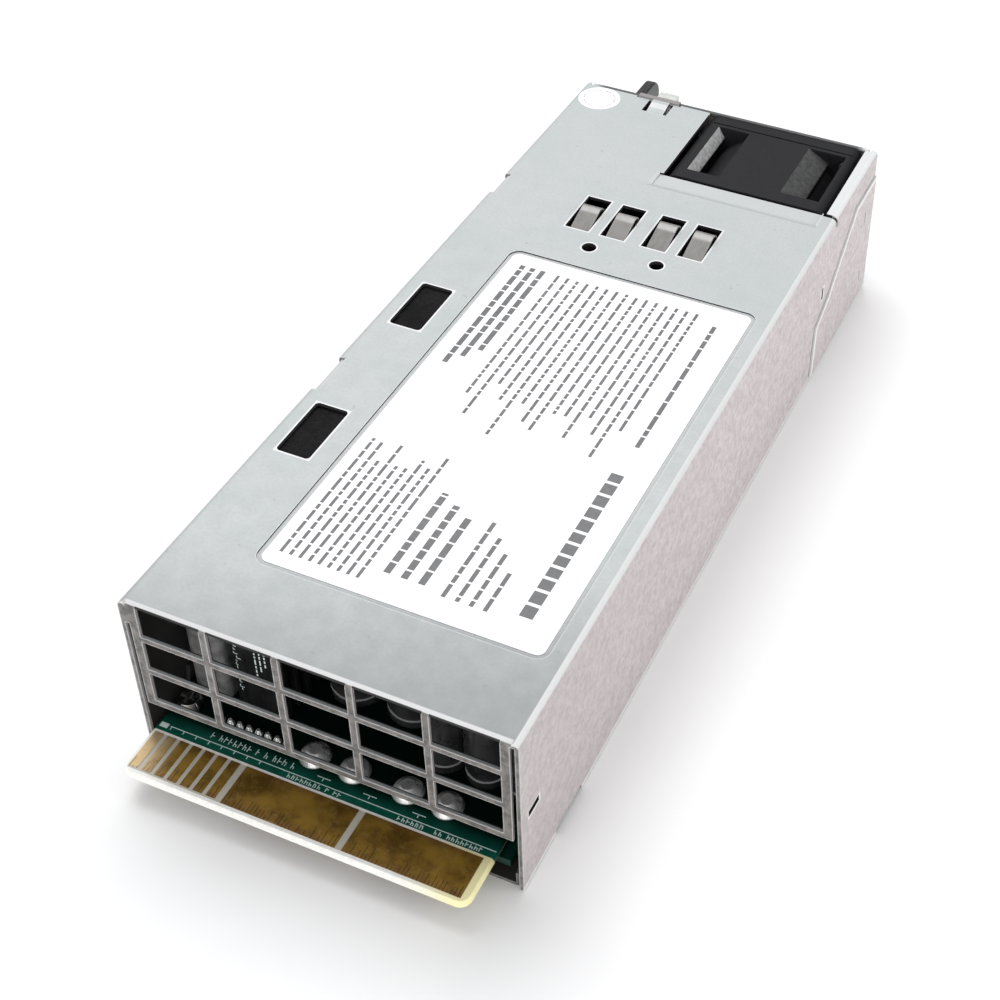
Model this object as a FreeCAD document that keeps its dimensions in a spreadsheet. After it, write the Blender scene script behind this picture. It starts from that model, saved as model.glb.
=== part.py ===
import FreeCAD, Part
import math
import os
import Sketcher
from FreeCAD import Placement, Rotation, Vector

# Hot swap server power supply: a sheet-metal case with an air grille and a card-edge connector at
# the -Y end, and the mains inlet, exhaust fan, release latch and pull handle at the +Y end.
# Frame: origin at the centre of the case's bottom face, X across, Y along, Z up. Millimetres.

DIMENSIONS = {
    # case
    "case_width": 73.5,
    "case_length": 185.0,
    "case_height": 38.0,
    "gauge": 0.8,
    "bend_radius": 1.3,
    "seat_gap": 0.1,
    "cut_gap": 0.15,
    # near grille
    "grille_half": 33.4,
    "grille_column_bar": 1.3,
    "grille_row_bar": 1.15,
    "grille_top": 37.2,
    "grille_bottom": 14.3,
    "flange_half": 35.1,
    "flange_bottom": 13.0,
    # rating label and its debossed panel
    "label_left": -20.9,
    "label_right": 32.2,
    "label_near": -75.0,
    "label_far": 22.2,
    "label_radius": 1.5,
    "label_thickness": 0.15,
    "panel_margin": 0.9,
    "panel_depth": 0.3,
    # windows, clip slots and holes in the cover
    "window_left": -33.1,
    "window_width": 6.9,
    "window_length": 14.3,
    "window_near_first": -50.6,
    "window_near_second": -9.6,
    "slot_inner": 4.7,
    "slot_pitch": 8.25,
    "slot_width": 5.5,
    "slot_near": 35.3,
    "slot_far": 47.7,
    "hole_across": 7.7,
    "hole_along": 30.2,
    "hole_radius": 1.55,
    # exhaust fan
    "fan_size": 37.6,
    "fan_depth": 28.0,
    "fan_across": 14.8,
    "fan_height": 19.0,
    "fan_flange": 3.6,
    "bore_radius": 18.05,
    "hub_radius": 9.6,
    "blade_tip": 17.6,
    "shaft_radius": 1.5,
    "running_gap": 0.05,
    "screw_pitch": 16.0,
    "screw_radius": 1.45,
    # mains inlet
    "inlet_across": -17.2,
    "inlet_height": 18.4,
    "inlet_width": 20.0,
    "inlet_tall": 27.4,
    "cavity_width": 16.6,
    "cavity_tall": 24.4,
    "cavity_depth": 17.0,
    # release latch
    "latch_low": 12.0,
    "latch_high": 26.0,
    "latch_root": 32.0,
    "tab_left": -29.2,
    "tab_thickness": 2.6,
    "tab_near": 98.5,
    "tab_far": 114.5,
    "tab_low": 10.6,
    "tab_high": 30.2,
    # pull handle
    "wire_radius": 1.3,
    "pivot_along": 96.8,
    "pivot_height": 30.4,
    "handle_drop": 25.0,
    "handle_span": 34.0,
    "ear_gap": 0.3,
    # boards
    "board_thickness": 1.6,
    "main_board_bottom": 2.6,
    "edge_board_bottom": 4.6,
    "edge_left": -35.2,
    "edge_right": 31.5,
    "edge_near": -102.4,
    "contact_thickness": 0.08,
    "contact_pitch": 2.6,
    "contact_width": 1.8,
    "contact_near": -101.0,
    "contact_far": -93.15,
}


class Size:
    """A length together with the spreadsheet expression that gives it."""

    def __init__(self, value, text):
        self.value = value
        self.text = text

    def __add__(self, other):
        other = as_size(other)
        return Size(self.value + other.value, "(%s + %s)" % (self.text, other.text))

    def __sub__(self, other):
        other = as_size(other)
        return Size(self.value - other.value, "(%s - %s)" % (self.text, other.text))

    def __mul__(self, other):
        other = as_size(other)
        return Size(self.value * other.value, "(%s * %s)" % (self.text, other.text))

    def __truediv__(self, other):
        other = as_size(other)
        return Size(self.value / other.value, "(%s / %s)" % (self.text, other.text))

    def __neg__(self):
        return Size(-self.value, "(-1 * %s)" % self.text)

    def __radd__(self, other):
        return as_size(other) + self

    def __rsub__(self, other):
        return as_size(other) - self

    def __rmul__(self, other):
        return as_size(other) * self


def as_size(number):
    if isinstance(number, Size):
        return number
    return Size(float(number), "(%.6f)" % number)


class Dimensions:
    """The driving dimensions, each one a cell of the document's spreadsheet."""

    def __init__(self, document, table):
        self.sheet = document.addObject("Spreadsheet::Sheet", "sheet")
        for row, (alias, number) in enumerate(table.items(), start=1):
            self.sheet.set("A%d" % row, alias)
            self.sheet.set("B%d" % row, "%g" % number)
            self.sheet.setAlias("B%d" % row, alias)
            setattr(self, alias, Size(number, "sheet.%s" % alias))


doc = FreeCAD.newDocument("power_supply")
d = Dimensions(doc, DIMENSIONS)
doc.recompute()
pieces = []

HALF_WIDTH = d.case_width / 2
HALF_LENGTH = d.case_length / 2
INNER_HALF = HALF_WIDTH - d.gauge
TRAY_HALF = INNER_HALF - d.seat_gap
ROOF_UNDER = d.case_height - d.gauge
PANEL_INNER = HALF_LENGTH - d.gauge
FAN_HALF = d.fan_size / 2
FAN_NEAR = PANEL_INNER - d.fan_depth
MAIN_TOP = d.main_board_bottom + d.board_thickness
EDGE_TOP = d.edge_board_bottom + d.board_thickness

PLANE_NORMAL = {"XY": 1, "XZ": -1, "YZ": 1}


def bind(item, path, amount):
    item.setExpression(path, as_size(amount).text)


class Body:
    """A PartDesign body made of slabs that are added or cut between two levels of one axis."""

    def __init__(self, name):
        self.body = doc.addObject("PartDesign::Body", name)
        self.body.Label = name
        self.count = 0
        self.tip = None
        pieces.append(self.body)

    def sketch(self, plane, level):
        self.count += 1
        sketch = self.body.newObject("Sketcher::SketchObject", "%s_s%d" % (self.body.Name, self.count))
        role = plane + "_Plane"
        support = [item for item in self.body.Origin.OriginFeatures if item.Role == role][0]
        sketch.AttachmentSupport = [(support, "")]
        sketch.MapMode = "FlatFace"
        bind(sketch, ".AttachmentOffset.Base.z", as_size(level) * PLANE_NORMAL[plane])
        return sketch

    def feature(self, kind, sketch):
        self.count += 1
        item = self.body.newObject("PartDesign::" + kind, "%s_f%d" % (self.body.Name, self.count))
        item.Profile = sketch
        self.tip = item
        return item

    def slab(self, plane, low, high, draw):
        """Adds what draw puts in the sketch, between two levels along the plane's axis."""
        low, high = as_size(low), as_size(high)
        sketch = self.sketch(plane, high if PLANE_NORMAL[plane] < 0 else low)
        draw(sketch)
        pad = self.feature("Pad", sketch)
        bind(pad, "Length", high - low)
        return pad

    def cut(self, plane, low, high, draw):
        """Removes what draw puts in the sketch, between two levels along the plane's axis."""
        low, high = as_size(low), as_size(high)
        sketch = self.sketch(plane, low if PLANE_NORMAL[plane] < 0 else high)
        draw(sketch)
        pocket = self.feature("Pocket", sketch)
        bind(pocket, "Length", high - low)
        return pocket

    def round_edges(self, radius, chosen, kind="Fillet"):
        """Rounds or bevels each edge that the chosen test accepts."""
        doc.recompute()
        base = self.tip
        names = ["Edge%d" % (n + 1) for n, edge in enumerate(base.Shape.Edges) if chosen(edge)]
        self.count += 1
        item = self.body.newObject("PartDesign::" + kind, "%s_f%d" % (self.body.Name, self.count))
        item.Base = (base, names)
        bind(item, "Radius" if kind == "Fillet" else "Size", radius)
        self.tip = item
        return item

    def shell(self, thickness, chosen):
        """Hollows the body inwards and leaves it open at each chosen face."""
        doc.recompute()
        base = self.tip
        names = ["Face%d" % (n + 1) for n, face in enumerate(base.Shape.Faces) if chosen(face)]
        self.count += 1
        item = self.body.newObject("PartDesign::Thickness", "%s_f%d" % (self.body.Name, self.count))
        item.Base = (base, names)
        bind(item, "Value", thickness)
        item.Reversed = True
        item.Join = 1
        self.tip = item
        return item

    def turned(self, plane, kind, axis, draw, angle=360.0):
        """Revolves or grooves a sketch about the sketch's own horizontal or vertical axis."""
        sketch = self.sketch(plane, 0)
        draw(sketch)
        item = self.feature(kind, sketch)
        item.ReferenceAxis = (sketch, [axis])
        item.Angle = angle
        return item


def outline(*corners):
    """A closed outline through the corners."""

    def draw(sketch):
        points = [(as_size(x), as_size(y)) for x, y in corners]
        first = sketch.GeometryCount
        total = len(points)
        for n in range(total):
            start = points[n]
            end = points[(n + 1) % total]
            sketch.addGeometry(Part.LineSegment(
                Vector(start[0].value, start[1].value, 0), Vector(end[0].value, end[1].value, 0)))
        for n, (x, y) in enumerate(points):
            follower = first + (n + 1) % total
            sketch.addConstraint(Sketcher.Constraint("Coincident", first + n, 2, follower, 1))
            place(sketch, first + n, 1, x, y)

    return draw


def arc_points(x, y, radius, first, last, count):
    """Points along an arc, from one angle to another in degrees."""
    angles = [math.radians(first + (last - first) * n / (count - 1)) for n in range(count)]
    return [(x + radius * math.cos(angle), y + radius * math.sin(angle)) for angle in angles]


def place(sketch, geometry, point, x, y, kinds=("DistanceX", "DistanceY")):
    """Ties one point of the sketch to its driven coordinates, or to one of them."""
    for kind, amount in (("DistanceX", x), ("DistanceY", y)):
        if kind in kinds:
            row = sketch.addConstraint(Sketcher.Constraint(kind, -1, 1, geometry, point, amount.value))
            bind(sketch, "Constraints[%d]" % row, amount)


def rect(x_low, y_low, x_high, y_high):
    return outline((x_low, y_low), (x_high, y_low), (x_high, y_high), (x_low, y_high))


def circle(x, y, radius):
    def draw(sketch):
        centre_x, centre_y, size = as_size(x), as_size(y), as_size(radius)
        row = sketch.addGeometry(Part.Circle(
            Vector(centre_x.value, centre_y.value, 0), Vector(0, 0, 1), size.value))
        place(sketch, row, 3, centre_x, centre_y)
        limit = sketch.addConstraint(Sketcher.Constraint("Radius", row, size.value))
        bind(sketch, "Constraints[%d]" % limit, size)

    return draw


def rounded(x_low, y_low, x_high, y_high, radius):
    """A rectangle with four equal corner arcs."""

    def draw(sketch):
        low_x, low_y, high_x, high_y, size = map(as_size, (x_low, y_low, x_high, y_high, radius))
        left, right = low_x + size, high_x - size
        lower, upper = low_y + size, high_y - size
        runs = [((left, low_y), (right, low_y)), ((high_x, lower), (high_x, upper)),
                ((right, high_y), (left, high_y)), ((low_x, upper), (low_x, lower))]
        centres = [(right, lower), (right, upper), (left, upper), (left, lower)]
        first = sketch.GeometryCount
        for n in range(4):
            start, end = runs[n]
            sketch.addGeometry(Part.LineSegment(
                Vector(start[0].value, start[1].value, 0), Vector(end[0].value, end[1].value, 0)))
            centre = Vector(centres[n][0].value, centres[n][1].value, 0)
            ring = Part.Circle(centre, Vector(0, 0, 1), size.value)
            turn = math.radians(90 * n - 90)
            sketch.addGeometry(Part.ArcOfCircle(ring, turn, turn + math.radians(90)))
        for n in range(4):
            run, arc, after = first + 2 * n, first + 2 * n + 1, first + (2 * n + 2) % 8
            sketch.addConstraint(Sketcher.Constraint("Coincident", run, 2, arc, 1))
            sketch.addConstraint(Sketcher.Constraint("Coincident", arc, 2, after, 1))
            place(sketch, arc, 3, *centres[n])
            place(sketch, run, 1, *runs[n][0], kinds=("DistanceX", "DistanceY")[n % 2])
            place(sketch, run, 2, *runs[n][1])

    return draw


def corner_waste(x, y, radius, inward_x, inward_y):
    """The region between a square corner and the arc that rounds it."""

    def draw(sketch):
        corner = (as_size(x), as_size(y))
        size = as_size(radius)
        centre = (corner[0] + inward_x * size, corner[1] + inward_y * size)
        along = (centre[0], corner[1])
        beside = (corner[0], centre[1])
        first = sketch.GeometryCount
        for start, end in ((beside, corner), (corner, along)):
            sketch.addGeometry(Part.LineSegment(
                Vector(start[0].value, start[1].value, 0), Vector(end[0].value, end[1].value, 0)))
        middle = [(c - i * size * math.sqrt(0.5)).value for c, i in zip(centre, (inward_x, inward_y))]
        arc = Part.Arc(Vector(along[0].value, along[1].value, 0), Vector(middle[0], middle[1], 0),
                       Vector(beside[0].value, beside[1].value, 0))
        sketch.addGeometry(arc)
        ends = [(1, 2), (2, 1)] if point_at(sketch, first + 2, 1, along) else [(1, 1), (2, 2)]
        sketch.addConstraint(Sketcher.Constraint("Coincident", first, 2, first + 1, 1))
        sketch.addConstraint(Sketcher.Constraint("Coincident", first + 1, 2, first + 2, 3 - ends[0][1]))
        sketch.addConstraint(Sketcher.Constraint("Coincident", first, 1, first + 2, ends[0][1]))
        place(sketch, first, 2, *corner)
        place(sketch, first, 1, *beside)
        place(sketch, first + 1, 2, *along)
        place(sketch, first + 2, 3, *centre, kinds=("DistanceX",))

    return draw


def point_at(sketch, geometry, point, spot):
    found = sketch.getPoint(geometry, point)
    return abs(found.x - spot[0].value) + abs(found.y - spot[1].value) < 0.001


def both(*drawings):
    """Several closed outlines in one sketch."""

    def draw(sketch):
        for drawing in drawings:
            drawing(sketch)

    return draw


def flat_face(axis, level):
    """A test for the flat faces that lie at one level of an axis."""

    def test(face):
        box = face.BoundBox
        low = getattr(box, axis + "Min")
        high = getattr(box, axis + "Max")
        return abs(low - level) < 0.001 and abs(high - level) < 0.001

    return test


def edge_along(axis, **limits):
    """A test for the edges that run along an axis, with the other coordinates as given."""

    def test(edge):
        box = edge.BoundBox
        for other in "XYZ":
            span = getattr(box, other + "Max") - getattr(box, other + "Min")
            if (other == axis) != (span > 0.01):
                return False
        for other, allowed in limits.items():
            middle = (getattr(box, other + "Max") + getattr(box, other + "Min")) / 2
            if not any(abs(middle - as_size(level).value) < 0.01 for level in allowed):
                return False
        return True

    return test


def move(item, x, y, z, rotation=None):
    if rotation is not None:
        item.Placement = Placement(Vector(0, 0, 0), rotation)
    for axis, amount in zip("xyz", (x, y, z)):
        bind(item, ".Placement.Base." + axis, amount)
    return item


def block(low, high, name="block"):
    """A box from its lowest to its highest corner."""
    item = doc.addObject("Part::Box", name)
    spans = [as_size(top) - as_size(bottom) for bottom, top in zip(low, high)]
    for side, span in zip(("Length", "Width", "Height"), spans):
        bind(item, side, span)
    return move(item, *low)


TURN = {"X": Rotation(Vector(0, 1, 0), 90), "Y": Rotation(Vector(1, 0, 0), -90), "Z": Rotation()}


def rod(axis, start, length, radius, name="rod"):
    """A cylinder that runs from its start along an axis."""
    item = doc.addObject("Part::Cylinder", name)
    bind(item, "Radius", radius)
    bind(item, "Height", length)
    return move(item, *start, rotation=TURN[axis])


def cone(axis, start, length, radius, end_radius, name="cone"):
    item = doc.addObject("Part::Cone", name)
    bind(item, "Radius1", radius)
    bind(item, "Radius2", end_radius)
    bind(item, "Height", length)
    return move(item, *start, rotation=TURN[axis])


def fused(shapes, name="fused"):
    item = doc.addObject("Part::MultiFuse", name)
    item.Shapes = shapes
    return item


def minus(base, tools, name="minus"):
    item = doc.addObject("Part::Cut", name)
    item.Base = base
    item.Tool = tools[0] if len(tools) == 1 else fused(tools, name + "_tools")
    return item


def rounded_item(base, radius, chosen, name="rounded"):
    """A Part fillet on the edges that the chosen test accepts."""
    doc.recompute()
    item = doc.addObject("Part::Fillet", name)
    item.Base = base
    item.Edges = [(n + 1, radius, radius) for n, edge in enumerate(base.Shape.Edges) if chosen(edge)]
    return item


def group(shapes, name="group"):
    item = doc.addObject("Part::Compound", name)
    item.Links = shapes
    return item


def piece(item, name):
    item.Label = name
    pieces.append(item)
    return item


# ---- case -----------------------------------------------------------------------------------------


def seam_outline(grow):
    """The rear flange on the +X side, in Y and Z; grow widens it into the cover's cut-away."""
    far = HALF_LENGTH
    return outline((far + grow, 1.0 - grow), (far + grow, 31.5 + grow), (78.0 - grow, 31.5 + grow),
                   (63.2 - grow, 20.2 + grow), (61.0 - grow, 18.2 + grow), (53.0 - grow, 14.7 + grow),
                   (52.2 - grow, 1.0 - grow))


SLOT_CENTRES = [side * (d.slot_inner + step * d.slot_pitch) for side in (-1, 1) for step in (0, 1)]
TAB_SPANS = ((40.2, 48.6), (-33.2, -22.6))


def top_cover():
    """The folded cover: roof, two side walls and the grille flange at the near end."""
    part = Body("top_cover")
    part.slab("XY", 0.2, d.case_height, rect(-HALF_WIDTH, -HALF_LENGTH, HALF_WIDTH, HALF_LENGTH))
    half = HALF_WIDTH.value
    top = d.case_height
    part.round_edges(d.bend_radius, edge_along("Y", X=(-half, half), Z=(top,)))
    part.shell(d.gauge, lambda face: flat_face("Z", 0.2)(face)
               or flat_face("Y", HALF_LENGTH.value)(face))
    part.cut("YZ", -HALF_WIDTH + d.bend_radius, HALF_WIDTH - d.bend_radius,
             corner_waste(-HALF_LENGTH, top, d.bend_radius, 1, -1))
    near, back = -HALF_LENGTH, -HALF_LENGTH + d.gauge
    slack = 0.3
    part.cut("XZ", near - slack, back + slack, rect(-INNER_HALF, 0, INNER_HALF, d.flange_bottom))
    part.cut("XZ", near - slack, back + slack, both(
        rect(-INNER_HALF, 12.0, -d.flange_half, 33.0),
        rect(d.flange_half, 12.0, INNER_HALF, 36.9)))
    part.cut("XZ", near - slack, back + slack, grille_openings)
    part.cut("XY", d.case_height - d.panel_depth, d.case_height, rounded(
        d.label_left - d.panel_margin, d.label_near - d.panel_margin,
        d.label_right + d.panel_margin, d.label_far + d.panel_margin, d.label_radius + 1.0))
    through = (ROOF_UNDER - slack, d.case_height)
    part.cut("XY", *through, both(*[rounded(
        d.window_left, start, d.window_left + d.window_width, start + d.window_length, 0.8)
        for start in (d.window_near_first, d.window_near_second)]))
    part.cut("XY", *through, both(*[rect(
        centre - d.slot_width / 2, d.slot_near, centre + d.slot_width / 2, d.slot_far)
        for centre in SLOT_CENTRES]))
    part.cut("XY", *through, both(*[circle(
        side * d.hole_across, d.hole_along, d.hole_radius) for side in (-1, 1)]))
    fan_left, fan_right = d.fan_across - FAN_HALF - 0.4, d.fan_across + FAN_HALF + 0.4
    part.cut("XY", *through, rect(fan_left, FAN_NEAR - 0.6, fan_right, HALF_LENGTH))
    part.cut("XY", 35.6, d.case_height, rect(
        fan_right - 0.6, FAN_NEAR - 1.5, HALF_WIDTH, FAN_NEAR - 0.4))
    part.cut("YZ", fan_left - 0.8, fan_right - 0.8, outline(
        (FAN_NEAR - 5.8, top), (FAN_NEAR - 0.6, top), (FAN_NEAR - 0.6, top - 0.5),
        (FAN_NEAR - 5.0, top - 0.35)))
    rim = PANEL_INNER - 0.1
    part.cut("XY", *through, outline(
        (-INNER_HALF + 0.6, HALF_LENGTH), (-INNER_HALF + 0.6, rim), (-23.0, rim),
        (-23.0, rim - 0.6), (-19.6, rim - 0.6), (-19.6, 85.9), (-13.4, 85.9),
        (-13.4, rim - 0.6), (-11.8, rim - 0.6), (-11.8, rim), (INNER_HALF - 0.6, rim),
        (INNER_HALF - 0.6, HALF_LENGTH)))
    part.cut("XY", 36.2, d.case_height, corner_waste(-HALF_WIDTH, HALF_LENGTH, 1.6, 1, -1))
    for low, high in TAB_SPANS:
        part.cut("XZ", low, high, rect(-HALF_WIDTH, 35.8, -HALF_WIDTH + 1.8, top))
    part.cut("YZ", INNER_HALF - slack, HALF_WIDTH, seam_outline(d.cut_gap))
    part.cut("YZ", INNER_HALF - slack, HALF_WIDTH, both(
        rect(-90.0, 17.1, -86.2, 18.6), rect(56.2, 20.0, 57.2, 23.2), rect(-80.2, 0.0, -69.8, 1.4)))
    part.cut("YZ", -HALF_WIDTH, -INNER_HALF + slack, rect(
        59.6, d.latch_low + 1.2, 71.6, d.latch_high - 1.2))
    return part


def grille_openings(sketch):
    """Five columns and three rows of openings in the near flange."""
    columns, rows = 5, 3
    wide = (2 * d.grille_half - (columns - 1) * d.grille_column_bar) / columns
    tall = (d.grille_top - d.grille_bottom - (rows - 1) * d.grille_row_bar) / rows
    for column in range(columns):
        left = -d.grille_half + column * (wide + d.grille_column_bar)
        for row in range(rows):
            low = d.grille_bottom + row * (tall + d.grille_row_bar)
            rect(left, low, left + wide, low + tall)(sketch)


def base_tray():
    """The floor with its low side walls, inside the cover's walls."""
    part = Body("base_tray")
    wall_top = 10.0
    part.slab("XY", 0, wall_top, rect(-TRAY_HALF, -HALF_LENGTH + 0.6, TRAY_HALF, PANEL_INNER))
    part.round_edges(1.0, edge_along("Y", X=(-TRAY_HALF, TRAY_HALF), Z=(0,)))
    ends = (-HALF_LENGTH.value + 0.6, PANEL_INNER.value)
    part.shell(d.gauge, lambda face: flat_face("Z", wall_top)(face)
               or flat_face("Y", ends[0])(face) or flat_face("Y", ends[1])(face))
    part.slab("YZ", -TRAY_HALF, -TRAY_HALF + d.gauge, rect(-33.0, 9.0, -22.8, 37.3))
    part.cut("YZ", -TRAY_HALF - 0.2, -TRAY_HALF + 1.2, both(
        rect(31.6, 4.0, PANEL_INNER, wall_top), outline(
            (-HALF_LENGTH, 3.0), (-90.0, 4.0), (-82.4, 4.0), (-81.0, wall_top),
            (-HALF_LENGTH, wall_top))))
    part.cut("YZ", TRAY_HALF - 1.2, TRAY_HALF + 0.2, both(
        rect(61.6, 2.5, PANEL_INNER, wall_top),
        outline((-HALF_LENGTH, 3.0), (-84.0, wall_top), (-HALF_LENGTH, wall_top))))
    part.cut("XY", 0, d.gauge + 0.2, rect(
        d.fan_across - FAN_HALF - 0.4, FAN_NEAR - 0.6, d.fan_across + FAN_HALF + 0.4, PANEL_INNER))
    part.cut("XY", 0, d.gauge + 0.2, both(*[circle(x, y, 1.6) for x, y in STANDOFFS]))
    return part


def rear_panel():
    """The end panel, with its outside flange on +X, inside flange on -X, roof hook and handle ears."""
    part = Body("rear_panel")
    inner, outer = PANEL_INNER, HALF_LENGTH
    flange_out = HALF_WIDTH + 0.5
    flange_in = flange_out - d.gauge
    part.slab("XZ", inner, outer, outline(
        (-TRAY_HALF, 0), (TRAY_HALF, 0), (TRAY_HALF, 1.0), (flange_out, 1.0), (flange_out, 31.5),
        (TRAY_HALF, 31.5), (TRAY_HALF, 36.4), (TRAY_HALF - 0.8, 37.1), (TRAY_HALF - 1.2, 38.0),
        (-12.2, 38.0), (-12.2, 38.45), (-22.6, 38.45), (-22.6, 38.0), (-TRAY_HALF + 1.2, 38.0),
        (-TRAY_HALF + 0.8, 37.1), (-TRAY_HALF, 36.4)))
    part.slab("YZ", flange_in, flange_out, seam_outline(0.0))
    part.slab("YZ", -TRAY_HALF, -TRAY_HALF + d.gauge, outline(
        (inner, 28.0), (inner, 36.4), (48.4, 36.4), (48.4, 37.3), (40.4, 37.3), (40.4, 28.0)))
    part.slab("YZ", -22.6, -12.2, rect(91.1, 37.7, inner, 38.45))
    part.slab("YZ", -18.6, -14.4, outline(
        (91.1, 38.45), (91.1, 37.85), (89.9, 37.85), (88.4, 37.4), (86.5, 37.1), (86.5, 37.6),
        (88.2, 37.95), (89.7, 38.45)))
    for left in EARS:
        part.slab("YZ", left, left + d.gauge, outline(
            (outer, d.pivot_height - 2.6), (d.pivot_along + 1.0, d.pivot_height - 2.6),
            (d.pivot_along + 2.6, d.pivot_height - 1.0), (d.pivot_along + 2.6, d.pivot_height + 1.0),
            (d.pivot_along + 1.0, d.pivot_height + 2.6), (outer, d.pivot_height + 2.6)))
        part.cut("YZ", left, left + d.gauge, circle(
            d.pivot_along, d.pivot_height, d.wire_radius + d.running_gap))
    part.round_edges(0.7, edge_along("Z", X=(flange_out,), Y=(outer,)))
    part.cut("XZ", inner - 0.2, outer + 0.2, both(
        circle(d.fan_across, d.fan_height, d.bore_radius),
        *[circle(x, z, d.screw_radius + 0.2) for x, z in FAN_SCREWS]))
    part.cut("XZ", inner - 0.2, outer + 0.2, both(
        rect(INLET_LEFT - 0.2, INLET_LOW - 0.2, INLET_RIGHT + 0.2, INLET_HIGH + 0.2),
        rect(-TRAY_HALF - 0.2, d.latch_low - 0.6, -30.2, d.latch_high + 0.6),
        rect(LENS[0] - 0.1, LENS[1] - 0.1, LENS[2] + 0.1, LENS[3] + 0.1)))
    part.cut("YZ", flange_in - 0.2, flange_out, both(
        rect(85.2, 22.6, 86.1, 25.6), rect(86.0, 5.4, 86.9, 8.4)))
    return part


INLET_LEFT = d.inlet_across - d.inlet_width / 2
INLET_RIGHT = d.inlet_across + d.inlet_width / 2
INLET_LOW = d.inlet_height - d.inlet_tall / 2
INLET_HIGH = d.inlet_height + d.inlet_tall / 2
LENS = (-19.2, 33.6, -14.6, 37.0)
LEG_LEFT = d.fan_across - d.handle_span / 2
LEG_RIGHT = d.fan_across + d.handle_span / 2
EARS = (LEG_LEFT - d.wire_radius - d.ear_gap - d.gauge, LEG_RIGHT + d.wire_radius + d.ear_gap)
FAN_SCREWS = [(d.fan_across + across * d.screw_pitch, d.fan_height + up * d.screw_pitch)
              for across in (-1, 1) for up in (-1, 1)]
STANDOFFS = ((-31.0, -52.0), (31.0, -52.0), (-31.0, -17.5), (31.0, 39.8), (-29.6, 84.0))
EDGE_SCREW = (-32.4, -85.6)


def rating_label():
    """The blank adhesive label, in the cover's debossed panel."""
    part = Body("rating_label")
    floor = d.case_height - d.panel_depth
    part.slab("XY", floor, floor + d.label_thickness, rounded(
        d.label_left, d.label_near, d.label_right, d.label_far, d.label_radius))


def seal_sticker():
    piece(rod("Z", (-30.7, 86.4, d.case_height), 0.1, 5.0), "seal_sticker")


def insulation_film():
    """The black film under the cover, which shows in the two windows."""
    part = Body("insulation_film")
    part.slab("XY", ROOF_UNDER - 0.5, ROOF_UNDER - 0.1, rounded(-34.6, -56.0, -23.4, 10.0, 1.0))


def ground_springs():
    """Two riveted spring plates; each has two fingers that arch out through the cover's slots."""
    strip = 0.3
    seat = ROOF_UNDER - strip
    roll = 1.9
    for side, name in ((-1, "ground_spring_left"), (1, "ground_spring_right")):
        part = Body(name)
        centres = [side * d.slot_inner, side * (d.slot_inner + d.slot_pitch)]
        low, high = (centres[1], centres[0]) if side < 0 else (centres[0], centres[1])
        crest = 42.4 if side < 0 else 43.3
        part.slab("XY", seat, seat + strip, rect(low - 2.2, 26.2, high + 2.8, 34.2))
        for centre in centres:
            part.slab("YZ", centre - 1.8, centre + 2.5, outline(
                (34.0, seat + strip), (35.5, seat + strip),
                *arc_points(crest, 39.25 - roll, roll, 106, -10, 7), (crest + roll + 0.6, 35.2),
                (crest + roll + 0.3, 35.2), *arc_points(crest, 39.25 - roll, roll - strip, -10, 106, 7),
                (35.6, seat), (34.0, seat)))
        part.cut("XY", seat, seat + strip, circle(
            side * d.hole_across, d.hole_along, d.hole_radius + 0.3))


# ---- exhaust fan ----------------------------------------------------------------------------------


def fan_frame():
    """The moulded frame: a square block cored out at its corners, with the motor held on struts."""
    x, z = d.fan_across, d.fan_height
    far = PANEL_INNER
    body = block((x - FAN_HALF, FAN_NEAR, z - FAN_HALF), (x + FAN_HALF, far, z + FAN_HALF))
    shell = rounded_item(body, 2.6, edge_along("Y"))
    tools = [rod("Y", (x, FAN_NEAR - 1, z), d.fan_depth + 2, d.bore_radius)]
    barrel = rod("Y", (x, FAN_NEAR, z), d.fan_depth, FAN_HALF)
    inner, outer = 7.6, 15.2
    near_wall, far_wall = FAN_NEAR + d.fan_flange, far - d.fan_flange - 0.9
    cores = [pocket_core(near_wall, far_wall, quarter, slope)
             for quarter in range(4)
             for slope in (((-outer, 20.0), (-outer, 18.8), (-outer + 1.9, 15.4), (-outer + 1.9, 10.0),
                            (-inner, 10.0), (-inner, 20.0)),
                           ((inner - 0.6, 20.0), (inner - 0.6, 18.8), (11.9, 15.9), (11.9, 10.0),
                            (outer + 0.8, 10.0), (outer + 0.8, 20.0)))]
    for core in cores:
        move(core, x, 0, z)
    tools.append(minus(fused(cores), [barrel]))
    tools.append(block((x - 20, far - 3.5, z + FAN_HALF - 0.3), (x + 20, far - 3.1, z + 20)))
    tools += [rod("Y", (sx, FAN_NEAR - 1, sz), d.fan_depth + 2, d.screw_radius + 0.15)
              for sx, sz in FAN_SCREWS]
    frame = minus(shell, tools)
    hub_thick = 2.4
    motor = [rod("Y", (x, far - hub_thick, z), hub_thick, d.hub_radius),
             rod("Y", (x, far - 20.0, z), 18.5, 3.0)]
    for turn in range(4):
        strut = block((-1.1, 0, d.hub_radius - 1.0), (1.1, 2.2, d.bore_radius + 0.3))
        spin = Rotation(Vector(0, 1, 0), 45 + 90 * turn)
        strut = group([strut])
        move(strut, x, far - 2.2, z, rotation=spin)
        motor.append(strut)
    bore = rod("Y", (x, far - 21.0, z), 19.6, d.shaft_radius + d.running_gap)
    piece(minus(fused([frame] + motor), [bore]), "fan_frame")


def pocket_core(near, far, quarter, corners):
    """The core of one pocket, from a section drawn for the top side and turned by quarters."""
    spin = Rotation(Vector(0, 1, 0), 90 * quarter)
    points = [spin.multVec(Vector(a, near.value, b)) for a, b in corners]
    face = Part.Face(Part.makePolygon(points + points[:1]))
    core = doc.addObject("Part::Feature", "pocket_core")
    core.Shape = face.extrude(Vector(0, (far - near).value, 0))
    return core


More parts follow.
